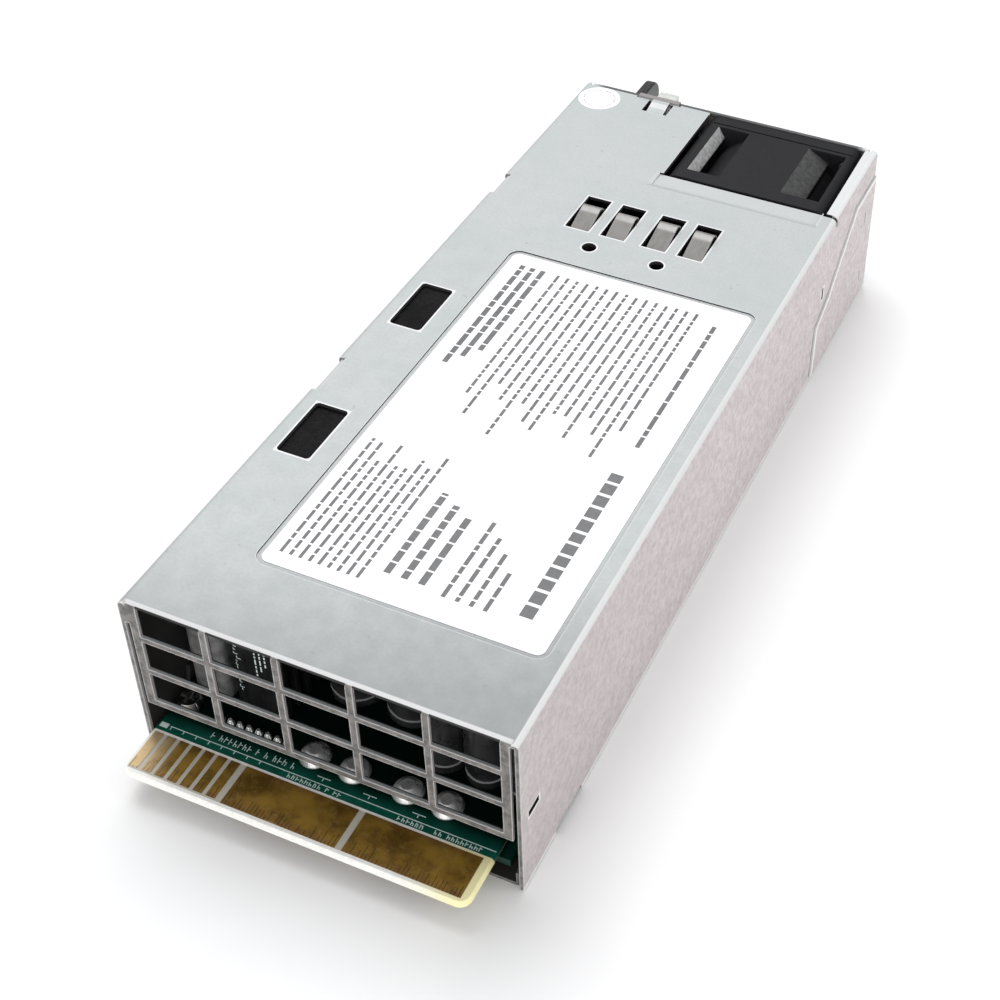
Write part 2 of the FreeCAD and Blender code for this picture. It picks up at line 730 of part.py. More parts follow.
def fan_stator():
    """The laminated stator on the bearing tube, inside the hub."""
    x, z = d.fan_across, d.fan_height
    tube = 3.05
    core = rod("Y", (x, PANEL_INNER - 18.0, z), 12.0, 7.6)
    piece(minus(core, [rod("Y", (x, PANEL_INNER - 19.0, z), 14.0, tube)]), "fan_stator")


def fan_impeller():
    """The turned hub cup and shaft, with seven lofted blades in a polar pattern."""
    part = Body("fan_impeller")
    near = FAN_NEAR + 1.2
    hub_back = PANEL_INNER - 2.8
    wall = 1.0
    reach = d.shaft_radius
    part.turned("YZ", "Revolution", "H_Axis", outline(
        (near, 0), (near, d.hub_radius - 1.0), (near + 1.0, d.hub_radius), (hub_back, d.hub_radius),
        (hub_back, d.hub_radius - wall), (near + 1.6, d.hub_radius - wall), (near + 1.6, reach),
        (hub_back - 2.0, reach), (hub_back - 2.0, 0)))
    axial_middle = (near + hub_back) / 2 - 0.6
    sections = []
    for radius, chord, stagger in ((8.65, 16.0, 27.0), (13.4, 17.0, 35.0), (18.6, 17.6, 43.0)):
        sketch = part.sketch("XY", radius)
        blade_section(axial_middle, chord, stagger)(sketch)
        sections.append(sketch)
    loft = part.feature("AdditiveLoft", sections[0])
    loft.Sections = sections[1:]
    pattern = part.body.newObject("PartDesign::PolarPattern", "blade_pattern")
    pattern.Originals = [loft]
    axis = [item for item in part.body.Origin.OriginFeatures if item.Role == "Y_Axis"][0]
    pattern.Axis = (axis, [""])
    pattern.Angle = 360
    pattern.Occurrences = 7
    part.body.Tip = pattern
    part.tip = pattern
    part.turned("YZ", "Groove", "H_Axis", rect(
        FAN_NEAR - 5.0, d.blade_tip, PANEL_INNER + 5.0, d.blade_tip + 8.0))
    move(part.body, d.fan_across, 0, d.fan_height)


def blade_section(middle, chord, stagger):
    """A thin cambered section, its chord turned from the fan's axis by the stagger angle."""
    thickness = 1.1
    turn = math.radians(stagger)

    def spot(along, off):
        across = along * math.sin(turn) + off * math.cos(turn)
        axial = along * math.cos(turn) - off * math.sin(turn)
        return across, middle + axial

    half = chord / 2
    camber = 1.0
    return outline(spot(-half, 0), spot(-half / 3, camber), spot(half / 3, camber), spot(half, 0.25),
                   spot(half, -0.1), spot(half / 3, camber - thickness),
                   spot(-half / 3, camber - thickness), spot(-half, -0.5))


def fan_guard():
    """The finger guard: three rings welded on two diagonal wires with an eye at each end."""
    part = Body("fan_guard")
    wire = 0.6
    seat = HALF_LENGTH + wire
    part.turned("YZ", "Revolution", "H_Axis", both(*[
        ring_section(seat + 0.8, radius, wire) for radius in (6.0, 11.4, 16.7)]))
    reach = d.screw_pitch.value * math.sqrt(2) - 1.8
    part.slab("XZ", HALF_LENGTH, seat + wire, both(*[bar(reach, wire, 45 + 90 * n) for n in (0, 1)]))
    eyes = [(across * d.screw_pitch, up * d.screw_pitch) for across in (-1, 1) for up in (-1, 1)]
    for x, z in eyes:
        part.slab("XZ", HALF_LENGTH, seat + wire, both(circle(x, z, 2.2), circle(x, z, 1.5)))
    move(part.body, d.fan_across, 0, d.fan_height)


def ring_section(along, radius, wire):
    """A four-sided section of drawn wire, at a radius from the fan's axis."""
    return outline(*[(along + wire * math.cos(math.radians(90 * n)),
                      radius + wire * math.sin(math.radians(90 * n))) for n in range(4)])


def bar(reach, wire, turn):
    """A straight bar through the fan's axis, turned by an angle."""
    cos, sin = math.cos(math.radians(turn)), math.sin(math.radians(turn))
    corners = ((-reach, -wire), (reach, -wire), (reach, wire), (-reach, wire))
    return outline(*[(a * cos - b * sin, a * sin + b * cos) for a, b in corners])


def fan_screws():
    screws = []
    for x, z in FAN_SCREWS:
        seat = HALF_LENGTH + 1.2
        shank = rod("Y", (x, HALF_LENGTH - 6.0, z), 6.0 + 1.2, d.screw_radius)
        head = cone("Y", (x, seat, z), 0.9, 2.2, 1.6)
        recess = block((x - 1.2, seat + 0.4, z - 0.25), (x + 1.2, seat + 2, z + 0.25))
        screws.append(minus(fused([shank, head]), [recess]))
    piece(group(screws), "fan_screws")


# ---- mains inlet, light pipe and latch ------------------------------------------------------------


def inlet_socket():
    """The upright appliance inlet, with a cavity for the mains connector."""
    part = Body("inlet_socket")
    face = HALF_LENGTH + 1.6
    x, z = d.inlet_across, d.inlet_height
    part.slab("XZ", 70.0, HALF_LENGTH, rounded(INLET_LEFT, INLET_LOW, INLET_RIGHT, INLET_HIGH, 1.2))
    part.slab("XZ", HALF_LENGTH, face, rounded(
        INLET_LEFT - 1.0, INLET_LOW - 1.0, INLET_RIGHT + 1.0, INLET_HIGH + 1.0, 2.0))
    wide, tall = d.cavity_width / 2, d.cavity_tall / 2
    bevel = 4.6
    part.cut("XZ", face - d.cavity_depth, face, outline(
        (x + wide, z - tall), (x + wide, z + tall), (x - wide + bevel, z + tall),
        (x - wide, z + tall - bevel), (x - wide, z - tall + bevel), (x - wide + bevel, z - tall)))
    part.cut("XZ", 70.0, face - d.cavity_depth, both(*[rect(
        x + across - 2.0, z + up - 1.0, x + across + 2.0, z + up + 1.0) for across, up in BLADES]))


BLADES = ((2.2, -7.0), (2.2, 7.0), (-2.2, 0.0))


def inlet_blades():
    """Three contact blades, through the socket's floor to the inlet board."""
    blades = []
    for across, up in BLADES:
        x, z = d.inlet_across + across, d.inlet_height + up
        tip = HALF_LENGTH - 1.0
        body = block((x - 2.0, 66.4, z - 1.0), (x + 2.0, tip, z + 1.0))
        blades.append(rounded_item(body, 0.6, lambda edge, tip=tip.value: edge_along(
            "X", Y=(tip,))(edge) or edge_along("Z", Y=(tip,))(edge)))
    piece(group(blades), "inlet_blades")


def inlet_board():
    """The small upright board behind the inlet, which carries the mains filter's entry."""
    part = Body("inlet_board")
    part.slab("XZ", 68.0, 69.6, rect(INLET_LEFT + 0.5, MAIN_TOP, INLET_RIGHT - 0.5, 31.6))
    part.cut("XZ", 68.0, 69.6, both(*[rect(
        d.inlet_across + across - 2.05, d.inlet_height + up - 1.05,
        d.inlet_across + across + 2.05, d.inlet_height + up + 1.05) for across, up in BLADES]))


def status_lens():
    """The light pipe above the inlet; its rounded end stands out of the panel."""
    part = Body("status_lens")
    tip = HALF_LENGTH + 5.6
    left, low, right, high = LENS
    part.slab("XZ", 82.0, PANEL_INNER, rect(left + 0.6, low, right - 0.6, high - 0.8))
    part.slab("XZ", PANEL_INNER, tip, rect(*LENS))
    part.round_edges(1.2, lambda edge: edge_along("X", Y=(tip,))(edge)
                     or edge_along("Z", Y=(tip,))(edge))


ARM_OUT = -INNER_HALF + 0.35
ARM_IN = ARM_OUT + d.gauge


def latch_spring():
    """The leaf that carries the bay hook and runs out of the rear panel to the thumb tab."""
    part = Body("latch_spring")
    end_out = d.tab_left + 0.9
    end_in = end_out + d.gauge
    part.slab("XY", d.latch_low, d.latch_high, outline(
        (ARM_OUT, d.latch_root + 0.3), (ARM_IN, d.latch_root + 0.3), (ARM_IN, 92.6),
        (end_in, 97.8), (end_in, 107.0), (end_out, 107.0), (end_out, 98.3), (ARM_OUT, 93.0)))
    part.slab("XY", d.latch_low + 2.0, d.latch_high - 2.0, outline(
        (ARM_OUT, 60.4), (-HALF_WIDTH - 2.4, 67.6), (-HALF_WIDTH - 2.4, 69.2),
        (ARM_OUT, 70.6), (ARM_OUT, 69.6), (-HALF_WIDTH - 1.5, 68.5), (-HALF_WIDTH - 1.5, 67.8),
        (ARM_OUT, 61.6)))


def latch_foot():
    """The leaf's riveted root plate on the tray's wall."""
    part = Body("latch_foot")
    low, high = -TRAY_HALF + d.gauge, -TRAY_HALF + 2 * d.gauge
    part.slab("YZ", low, high, outline(
        (20.0, 3.4), (31.6, 3.4), (31.6, 9.6), (d.latch_root, d.latch_low), (d.latch_root, d.latch_high),
        (24.0, d.latch_high), (20.0, d.latch_low)))
    part.cut("YZ", low, high, both(circle(23.2, 6.6, 1.25), circle(28.8, 6.6, 1.25)))


def latch_rivets():
    rivets = []
    for along in (23.2, 28.8):
        shank = rod("X", (-TRAY_HALF + d.gauge, along, 6.6), d.gauge, 1.2)
        head = cone("X", (-TRAY_HALF + 2 * d.gauge, along, 6.6), 0.7, 2.1, 1.4)
        rivets.append(fused([shank, head]))
    piece(group(rivets), "latch_rivets")


def latch_tab():
    """The moulded thumb tab, with rounded corners and grip ribs."""
    part = Body("latch_tab")
    left, right = d.tab_left, d.tab_left + d.tab_thickness
    part.slab("YZ", left, right, rect(d.tab_near, d.tab_low, d.tab_far, d.tab_high))
    part.round_edges(4.0, edge_along("X", Y=(d.tab_far,)))
    part.round_edges(0.5, lambda edge: edge.BoundBox.XMax < left.value + 0.01
                     or edge.BoundBox.XMin > right.value - 0.01)
    for step in range(4):
        start = d.tab_near + 5.0 + 2.4 * step
        part.slab("YZ", left - 0.5, left + 0.1, rect(start, d.tab_low + 3.5, start + 1.1, d.tab_high - 3.5))
    end_out = d.tab_left + 0.9
    part.cut("YZ", end_out, end_out + d.gauge, rect(
        d.tab_near - 0.5, d.latch_low, 107.0, d.latch_high))


def pull_handle():
    """The wire bail, which hangs from two ears in front of the fan guard."""
    path = [(LEG_LEFT - 3.3, 0), (LEG_LEFT, 0), (LEG_LEFT, -d.handle_drop),
            (LEG_RIGHT, -d.handle_drop), (LEG_RIGHT, 0), (LEG_RIGHT + 3.3, 0)]
    points = [Vector(as_size(x).value, 0, as_size(z).value) for x, z in path]
    wire = rounded_path(points, (1.6, 4.0, 4.0, 1.6))
    ring = Part.Wire(Part.makeCircle(d.wire_radius.value, points[0], Vector(1, 0, 0)))
    item = doc.addObject("Part::Feature", "pull_handle")
    item.Shape = wire.makePipeShell([ring], True, False)
    move(item, 0, d.pivot_along, d.pivot_height)
    piece(item, "pull_handle")


def rounded_path(points, radii):
    """Straight runs joined by tangent arcs of the given radii."""
    edges = []
    start = points[0]
    for corner, before, after, radius in zip(points[1:-1], points[:-2], points[2:], radii):
        inward = (before - corner).normalize()
        outward = (after - corner).normalize()
        bend = inward.getAngle(outward)
        cut = radius / math.tan(bend / 2)
        middle = (inward + outward).normalize()
        centre = corner + middle * (radius / math.sin(bend / 2))
        arc_start = corner + inward * cut
        arc_end = corner + outward * cut
        edges.append(Part.LineSegment(start, arc_start).toShape())
        edges.append(Part.Arc(arc_start, centre - middle * radius, arc_end).toShape())
        start = arc_end
    edges.append(Part.LineSegment(start, points[-1]).toShape())
    return Part.Wire(edges)


# ---- boards and what they carry -------------------------------------------------------------------


def main_board():
    part = Body("main_board")
    low = d.main_board_bottom
    part.slab("XY", low, MAIN_TOP, outline(
        (-33.4, -90.6), (33.4, -90.6), (33.4, 61.0), (-5.6, 61.0), (-5.6, 88.0), (-31.6, 88.0),
        (-31.6, 34.0), (-33.4, 34.0)))
    part.cut("XY", low, MAIN_TOP, both(*[circle(x, y, 1.6) for x, y in STANDOFFS + (EDGE_SCREW,)]))


def board_standoffs():
    """Hexagonal posts, with a threaded bore, between the tray and the main board."""
    posts = []
    for x, y in STANDOFFS:
        post = doc.addObject("Part::Prism", "post")
        post.Polygon = 6
        bind(post, "Circumradius", 2.7)
        bind(post, "Height", d.main_board_bottom - d.gauge)
        move(post, x, y, d.gauge)
        posts.append(minus(post, [rod("Z", (x, y, 0), 4, 1.3)]))
    piece(group(posts), "board_standoffs")


def board_screws():
    """Pan-head screws on the boards; the near one also holds the edge board."""
    screws = []
    for x, y, seat in [(x, y, MAIN_TOP) for x, y in STANDOFFS] + [(*EDGE_SCREW, EDGE_TOP)]:
        head = cone("Z", (x, y, seat), 1.9, 2.7, 2.0)
        shank = rod("Z", (x, y, seat - 2.4), 2.5, 1.2)
        screws.append(fused([head, shank]))
    x, y = EDGE_SCREW
    recess = fused([block((x - 1.5, y - 0.35, EDGE_TOP + 1.0), (x + 1.5, y + 0.35, EDGE_TOP + 3.0)),
                    block((x - 0.35, y - 1.5, EDGE_TOP + 1.0), (x + 0.35, y + 1.5, EDGE_TOP + 3.0))])
    screws[-1] = minus(screws[-1], [recess])
    piece(group(screws), "board_screws")


def edge_board():
    """The output board; its bevelled card edge stands out under the grille."""
    part = Body("edge_board")
    low, high = d.edge_board_bottom, EDGE_TOP
    part.slab("XY", low, high, outline(
        (d.edge_left, d.edge_near), (d.edge_right, d.edge_near), (d.edge_right, -84.0), (34.0, -84.0),
        (34.0, -58.0), (-34.0, -58.0), (-34.0, -83.0), (d.edge_left, -83.0)))
    part.round_edges(2.2, edge_along("Z", Y=(d.edge_near,)))
    part.cut("XY", low, high, circle(*EDGE_SCREW, 1.6))
    part.round_edges(0.45, lambda edge: edge_along("X", Y=(d.edge_near,), Z=(low, high))(edge), "Chamfer")


def contact_outlines(sketch):
    """Seven narrow signal contacts and two wide power pads."""
    first = d.edge_left + 1.7
    near, far = d.contact_near, d.contact_far
    for n in range(7):
        centre = first + n * d.contact_pitch
        rect(centre - d.contact_width / 2, near, centre + d.contact_width / 2, far)(sketch)
    pad = first + 6.5 * d.contact_pitch + 0.9
    wide = 9 * d.contact_pitch - 1.3
    for n in range(2):
        left = pad + n * 9 * d.contact_pitch
        rect(left, near - 0.3, left + wide, far)(sketch)


def edge_contacts():
    for name, low in (("edge_contacts_top", EDGE_TOP),
                      ("edge_contacts_bottom", d.edge_board_bottom - d.contact_thickness)):
        part = Body(name)
        part.slab("XY", low, low + d.contact_thickness, contact_outlines)


def solder_joints():
    """Domed joints of the power bus pins and of the signal header on the edge board."""
    domes = []
    for x in (-6.2, 1.6, 12.0, 19.6):
        domes.append(solder_dome(x, -86.4, 2.9, 1.9))
    for n in range(8):
        domes.append(cone("Z", (-25.3 + 1.9 * n, -86.4, EDGE_TOP), 1.1, 0.8, 0.35))
    piece(group(domes), "solder_joints")


def solder_dome(x, y, radius, height):
    base = cone("Z", (x, y, EDGE_TOP), height * 0.45, radius, radius * 0.86)
    top = cone("Z", (x, y, EDGE_TOP + height * 0.45), height * 0.55, radius * 0.86, radius * 0.42)
    return fused([base, top])


def can(x, y, seat, radius, height, crimped=True):
    """An upright electrolytic capacitor, with the crimp groove round its foot."""
    sleeve = rod("Z", (x, y, seat), height, radius)
    if not crimped:
        return sleeve
    band = (x, y, as_size(seat) + 1.6)
    groove = minus(rod("Z", band, 0.9, radius + 1), [rod("Z", band, 0.9, radius - 0.35)])
    return minus(sleeve, [groove])


def output_capacitors():
    cans = [can(x, y, EDGE_TOP, 3.9, 21.0, crimped) for x in (14.4, 22.5, 30.6)
            for y, crimped in ((-77.2, True), (-68.6, False))]
    cans += [can(x, y, EDGE_TOP, 5.2, 19.0) for x, y in ((-7.2, -69.6), (4.4, -69.6))]
    piece(group(cans), "output_capacitors")


def bulk_capacitor():
    """The large input capacitor, lying along the case with its crimped end towards the fan."""
    radius = 12.4
    x, z = 19.5, MAIN_TOP + radius
    body = fused([cone("Y", (x, -6.0, z), 1.2, radius - 1.2, radius),
                  rod("Y", (x, -4.8, z), 41.8, radius), cone("Y", (x, 37.0, z), 1.0, radius, radius - 1.0)])
    groove = minus(rod("Y", (x, 33.2, z), 2.0, radius + 1), [rod("Y", (x, 33.2, z), 2.0, radius - 0.8)])
    piece(minus(body, [groove]), "bulk_capacitor")


def transformer():
    """The main transformer: an E-core around a wound bobbin."""
    x, y = 5.0, -32.0
    low, high = MAIN_TOP + 1.2, MAIN_TOP + 27.0
    core = block((x - 16, y - 14, low), (x + 16, y + 14, high))
    window = fused([block((x - 11.5, y - 15, low + 5), (x - 5.5, y + 15, high - 5)),
                    block((x + 5.5, y - 15, low + 5), (x + 11.5, y + 15, high - 5))])
    piece(minus(core, [window]), "transformer_core")
    winding_box = block((x - 11.3, y - 17.5, low + 5.2), (x + 11.3, y + 17.5, high - 5.2))
    winding = rounded_item(winding_box, 3.0, edge_along("Z"))
    limb = block((x - 5.6, y - 14.1, low), (x + 5.6, y + 14.1, high))
    feet = block((x - 9, y - 16.5, MAIN_TOP), (x - 6, y - 14.5, low + 6))
    more = block((x + 6, y + 14.5, MAIN_TOP), (x + 9, y + 16.5, low + 6))
    piece(fused([minus(winding, [limb]), feet, more]), "transformer_winding")


def ring_choke(name, x, y, radius, hole, height, upright):
    """A toroid core with its wound turns as a second piece."""
    axis = "Y" if upright else "Z"
    start = (x, y - height / 2, MAIN_TOP + radius + 1.6) if upright else (x, y, MAIN_TOP + 1.4)
    inside = tuple(as_size(c) - (1 if a == axis else 0) for c, a in zip(start, "XYZ"))
    core = minus(rod(axis, start, height, radius), [rod(axis, inside, height + 2, hole)])
    piece(core, name + "_core")
    turns = []
    count = 14
    for n in range(count):
        angle = 2 * math.pi * (n + 0.5) / count
        turn = turn_of_wire(radius, hole, height)
        spin = Rotation(Vector(0, 0, 1), math.degrees(angle))
        if upright:
            spin = Rotation(Vector(1, 0, 0), -90).multiply(spin)
        turns.append(move(turn, *start, rotation=spin))
    piece(group(turns), name + "_winding")


def turn_of_wire(radius, hole, height):
    """One square-cut turn round the section of a toroid that stands on its own origin."""
    wire = 1.0
    gap = 0.05
    outer = block((hole - gap - wire, -wire / 2, -gap - wire),
                  (radius + gap + wire, wire / 2, height + gap + wire))
    inner = block((hole - gap, -wire, -gap), (radius + gap, wire, height + gap))
    return group([minus(outer, [inner])])


def heatsink(name, low, high, fins):
    """An extruded sink: a base wall with fins that stand along one side."""
    part = Body(name)
    x0, y0, z0 = low
    x1, y1, z1 = high
    base = 2.0
    part.slab("XY", z0, z1, rect(x0, y0, x0 + base, y1))
    step = (y1 - y0 - 1.0) / (fins - 1)
    part.slab("XY", z0 + 1.0, z1, both(*[rect(
        x0 + base - 0.2, y0 + n * step, x1, y0 + n * step + 1.0) for n in range(fins)]))
    return part


def power_transistors():
    """Tab-mount transistors against the primary heat sink."""
    bodies = []
    for y in (-2.0, 10.0, 22.0):
        case = block((-24.6, y, MAIN_TOP + 5), (-20.2, y + 9.8, MAIN_TOP + 20))
        tab = block((-24.6, y, MAIN_TOP + 20), (-23.4, y + 9.8, MAIN_TOP + 24))
        legs = [block((-22.6, y + 1.6 + 2.54 * n, MAIN_TOP), (-21.9, y + 2.6 + 2.54 * n, MAIN_TOP + 5.2))
                for n in range(3)]
        bodies.append(fused([case, tab] + legs))
    piece(group(bodies), "power_transistors")


def small_parts():
    """Filter capacitor, relay, fuse, choke block and the upright control board."""
    film = block((7.0, 43.0, MAIN_TOP + 0.6), (31.0, 57.0, MAIN_TOP + 16.0))
    piece(rounded_item(film, 0.8, edge_along("Z")), "filter_capacitor")
    piece(rounded_item(block((-5.0, 43.5, MAIN_TOP), (5.0, 58.5, MAIN_TOP + 15.0)), 0.6,
                       edge_along("Z")), "relay")
    fuse = rod("X", (-28.0, 60.6, MAIN_TOP + 4.0), 14.0, 2.6)
    caps = [rod("X", (x, 60.6, MAIN_TOP + 4.0), 2.4, 3.1) for x in (-29.0, -15.4)]
    stands = [block((x, 60.0, MAIN_TOP), (x + 0.9, 61.2, MAIN_TOP + 4.0)) for x in (-28.2, -14.7)]
    piece(fused([fuse] + caps + stands), "fuse")
    choke = block((-34.0, -82.0, EDGE_TOP), (-26.4, -70.4, EDGE_TOP + 19.0))
    piece(rounded_item(choke, 1.4, edge_along("Z")), "output_choke")
    board = Body("control_board")
    board.slab("YZ", 24.0, 25.4, rect(-52.0, MAIN_TOP, -14.0, MAIN_TOP + 26.0))
    board.slab("YZ", 25.3, 28.0, both(rect(-48.0, 14.0, -41.0, 21.0), rect(-37.0, 17.0, -29.0, 27.0),
                                      rect(-25.0, 10.0, -18.0, 15.0)))


def fan_header():
    """The board plug of the fan lead."""
    low = MAIN_TOP
    header = block((7.6, 58.0, low), (17.6, 60.8, low + 6.0))
    key = block((9.0, 57.2, low), (16.2, 58.1, low + 3.0))
    piece(fused([header, key]), "fan_header")


def fan_lead():
    """The three-way ribbon from the fan frame's near edge down to the board header."""
    part = Body("fan_lead")
    top = MAIN_TOP + 6.05
    part.slab("YZ", 9.6, 15.6, outline(
        (FAN_NEAR - 0.05, 30.6), (62.6, 30.6), (60.4, 27.4), (59.4, 20.0), (58.8, top), (59.8, top),
        (60.4, 20.0), (61.4, 27.0), (63.0, 29.4), (FAN_NEAR - 0.05, 29.4)))


# ---- build and write ------------------------------------------------------------------------------


def build():
    base_tray()
    rear_panel()
    top_cover()
    rating_label()
    seal_sticker()
    insulation_film()
    ground_springs()
    fan_frame()
    fan_stator()
    fan_impeller()
    fan_guard()
    fan_screws()
    inlet_socket()
    inlet_blades()
    inlet_board()
    status_lens()
    latch_spring()
    latch_foot()
    latch_rivets()
    latch_tab()
    pull_handle()
    main_board()
    board_standoffs()
    board_screws()
    edge_board()
    edge_contacts()
    solder_joints()
    output_capacitors()
    bulk_capacitor()
    transformer()
    ring_choke("boost_choke", -22.8, -34.0, 10.0, 4.8, 11.0, False)
    ring_choke("mains_choke", -18.6, 46.0, 9.4, 4.6, 8.0, True)
    heatsink("primary_heatsink", (-30.6, -12.0, MAIN_TOP), (-24.8, 33.0, MAIN_TOP + 27.0), 2)
    heatsink("secondary_heatsink", (-24.2, -82.0, EDGE_TOP), (-14.0, -62.0, EDGE_TOP + 24.0), 7)
    power_transistors()
    small_parts()
    fan_header()
    fan_lead()
    doc.recompute()


def check():
    """Every object must be sound, and every cut must have removed something."""
    faults = []
    for item in doc.Objects:
        if "Invalid" in item.State or "Error" in item.State:
            faults.append("%s is %s" % (item.Name, item.State))
        if item.TypeId in ("PartDesign::Pocket", "PartDesign::Groove"):
            if item.BaseFeature.Shape.Volume - item.Shape.Volume < 0.01:
                faults.append("%s cuts nothing" % item.Name)
    for item in pieces:
        if item.Shape.isNull() or not item.Shape.isValid():
            faults.append("%s has no sound shape" % item.Label)
    if faults:
        raise RuntimeError("; ".join(faults))


def write():
    os.makedirs("parts", exist_ok=True)
    for item in pieces:
        item.Shape.exportStep(os.path.join("parts", item.Label + ".step"))
        box = item.Shape.BoundBox
        print("%-22s solids %2d  x %7.2f %7.2f  y %7.2f %7.2f  z %7.2f %7.2f  vol %9.1f" % (
            item.Label, len(item.Shape.Solids), box.XMin, box.XMax, box.YMin, box.YMax, box.ZMin,
            box.ZMax, item.Shape.Volume))


build()
check()
write()
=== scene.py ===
import math
import random

import bmesh
import bpy
from mathutils import Matrix, Vector


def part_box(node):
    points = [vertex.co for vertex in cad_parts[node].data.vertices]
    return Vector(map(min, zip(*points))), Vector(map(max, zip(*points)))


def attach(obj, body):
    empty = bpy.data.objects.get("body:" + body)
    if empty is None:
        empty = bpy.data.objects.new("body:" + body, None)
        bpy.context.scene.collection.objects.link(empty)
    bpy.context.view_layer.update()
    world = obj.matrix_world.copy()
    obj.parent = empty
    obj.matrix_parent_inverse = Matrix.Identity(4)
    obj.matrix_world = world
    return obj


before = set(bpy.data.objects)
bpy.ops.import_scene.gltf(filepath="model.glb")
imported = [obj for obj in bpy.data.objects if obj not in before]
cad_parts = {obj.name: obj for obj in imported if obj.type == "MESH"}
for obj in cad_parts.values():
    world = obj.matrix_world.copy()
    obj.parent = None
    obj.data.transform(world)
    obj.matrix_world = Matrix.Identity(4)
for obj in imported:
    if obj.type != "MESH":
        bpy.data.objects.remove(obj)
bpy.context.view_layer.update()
MM = 0.001
rng = random.Random(7)

# Hot swap server power supply. Frame: origin at the centre of the case's bottom face, X across,
# Y along (card edge at -Y, fan and mains inlet at +Y), Z up. Metres, unless a comment says mm.

# ---- places on the part that the materials follow ------------------------------------------------

WALL = 36.75 * MM           # outer face of the side walls
FLANGE_FACE = 37.25 * MM    # outer face of the rear panel's flange, on the right wall
ROOF = 38.0 * MM            # outer face of the roof
NEAR_END, FAR_END = -92.5 * MM, 92.5 * MM
BEND_RADIUS = 1.3 * MM
SKIN = 0.65 * MM            # how deep in the sheet the outer faces' look ends
NOTCH_EDGE = -34.6 * MM     # a little farther in than the notches at the roof's left edge

GRILLE_HALF, GRILLE_PITCH = 33.4 * MM, 13.62 * MM
BAR_START = 0.908           # where a grille bar starts in its column, as a share of the pitch
HOLES = [(side * 7.7 * MM, 30.2 * MM, ROOF) for side in (-1, 1)]
HOLE_RADIUS = 1.55 * MM
SLOT_MIDDLES, SLOT_HALF = (-12.95 * MM, -4.7 * MM, 4.7 * MM, 12.95 * MM), 2.75 * MM
SLOT_NEAR, SLOT_FAR = 35.3 * MM, 47.7 * MM
WINDOW_LEFT, WINDOW_RIGHT, WINDOW_LENGTH = -33.1 * MM, -26.2 * MM, 14.3 * MM
WINDOW_NEARS = (-50.6 * MM, -9.6 * MM)
# roof openings: left, near, right, far
OPENINGS = [(middle - SLOT_HALF, SLOT_NEAR, middle + SLOT_HALF, SLOT_FAR)
            for middle in SLOT_MIDDLES]
OPENINGS += [(WINDOW_LEFT, near, WINDOW_RIGHT, near + WINDOW_LENGTH) for near in WINDOW_NEARS]
# slots in the right wall, with the margin round them where a highlight is painted: near, low, far,
# high
SIDE_SLOTS = [(-90.2 * MM, 16.7 * MM, -85.8 * MM, 18.8 * MM),
              (55.9 * MM, 19.6 * MM, 57.7 * MM, 23.6 * MM)]
# stepped near edge of the rear panel's flange, from the floor up, in Y and Z
SEAM = [(y * MM, z * MM) for y, z in (
    (52.2, 1.0), (53.0, 14.7), (61.0, 18.2), (63.2, 20.2), (78.0, 31.5), (92.5, 31.5))]
MASK_EDGE = -92.6 * MM      # where the edge board's solder mask ends in Y

fan_low, fan_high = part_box("fan_frame")
contacts_low, contacts_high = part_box("edge_contacts_top")
label_low, label_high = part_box("rating_label")

# ---- materials -----------------------------------------------------------------------------------

SOFT = 0.1 * MM             # how wide the border of a mask is
UPWARD = 0.5, 0.7           # the true normal's height where a face starts to count as level
HIGHLIGHT_COSINES = 0.99, 0.86           # cosines between true and rounded normal where the painted edge highlight starts and is full
BEVEL_SAMPLES = 6
COARSE = 0.07               # scale of a speckled surface's coarse noise over that of its fine one
GLOSS_SPREAD = 0.12         # how far a speckled surface's roughness varies each way
NEAR_SHADE_SLANT = -0.35    # how far the shade at the roof's near end leans across it


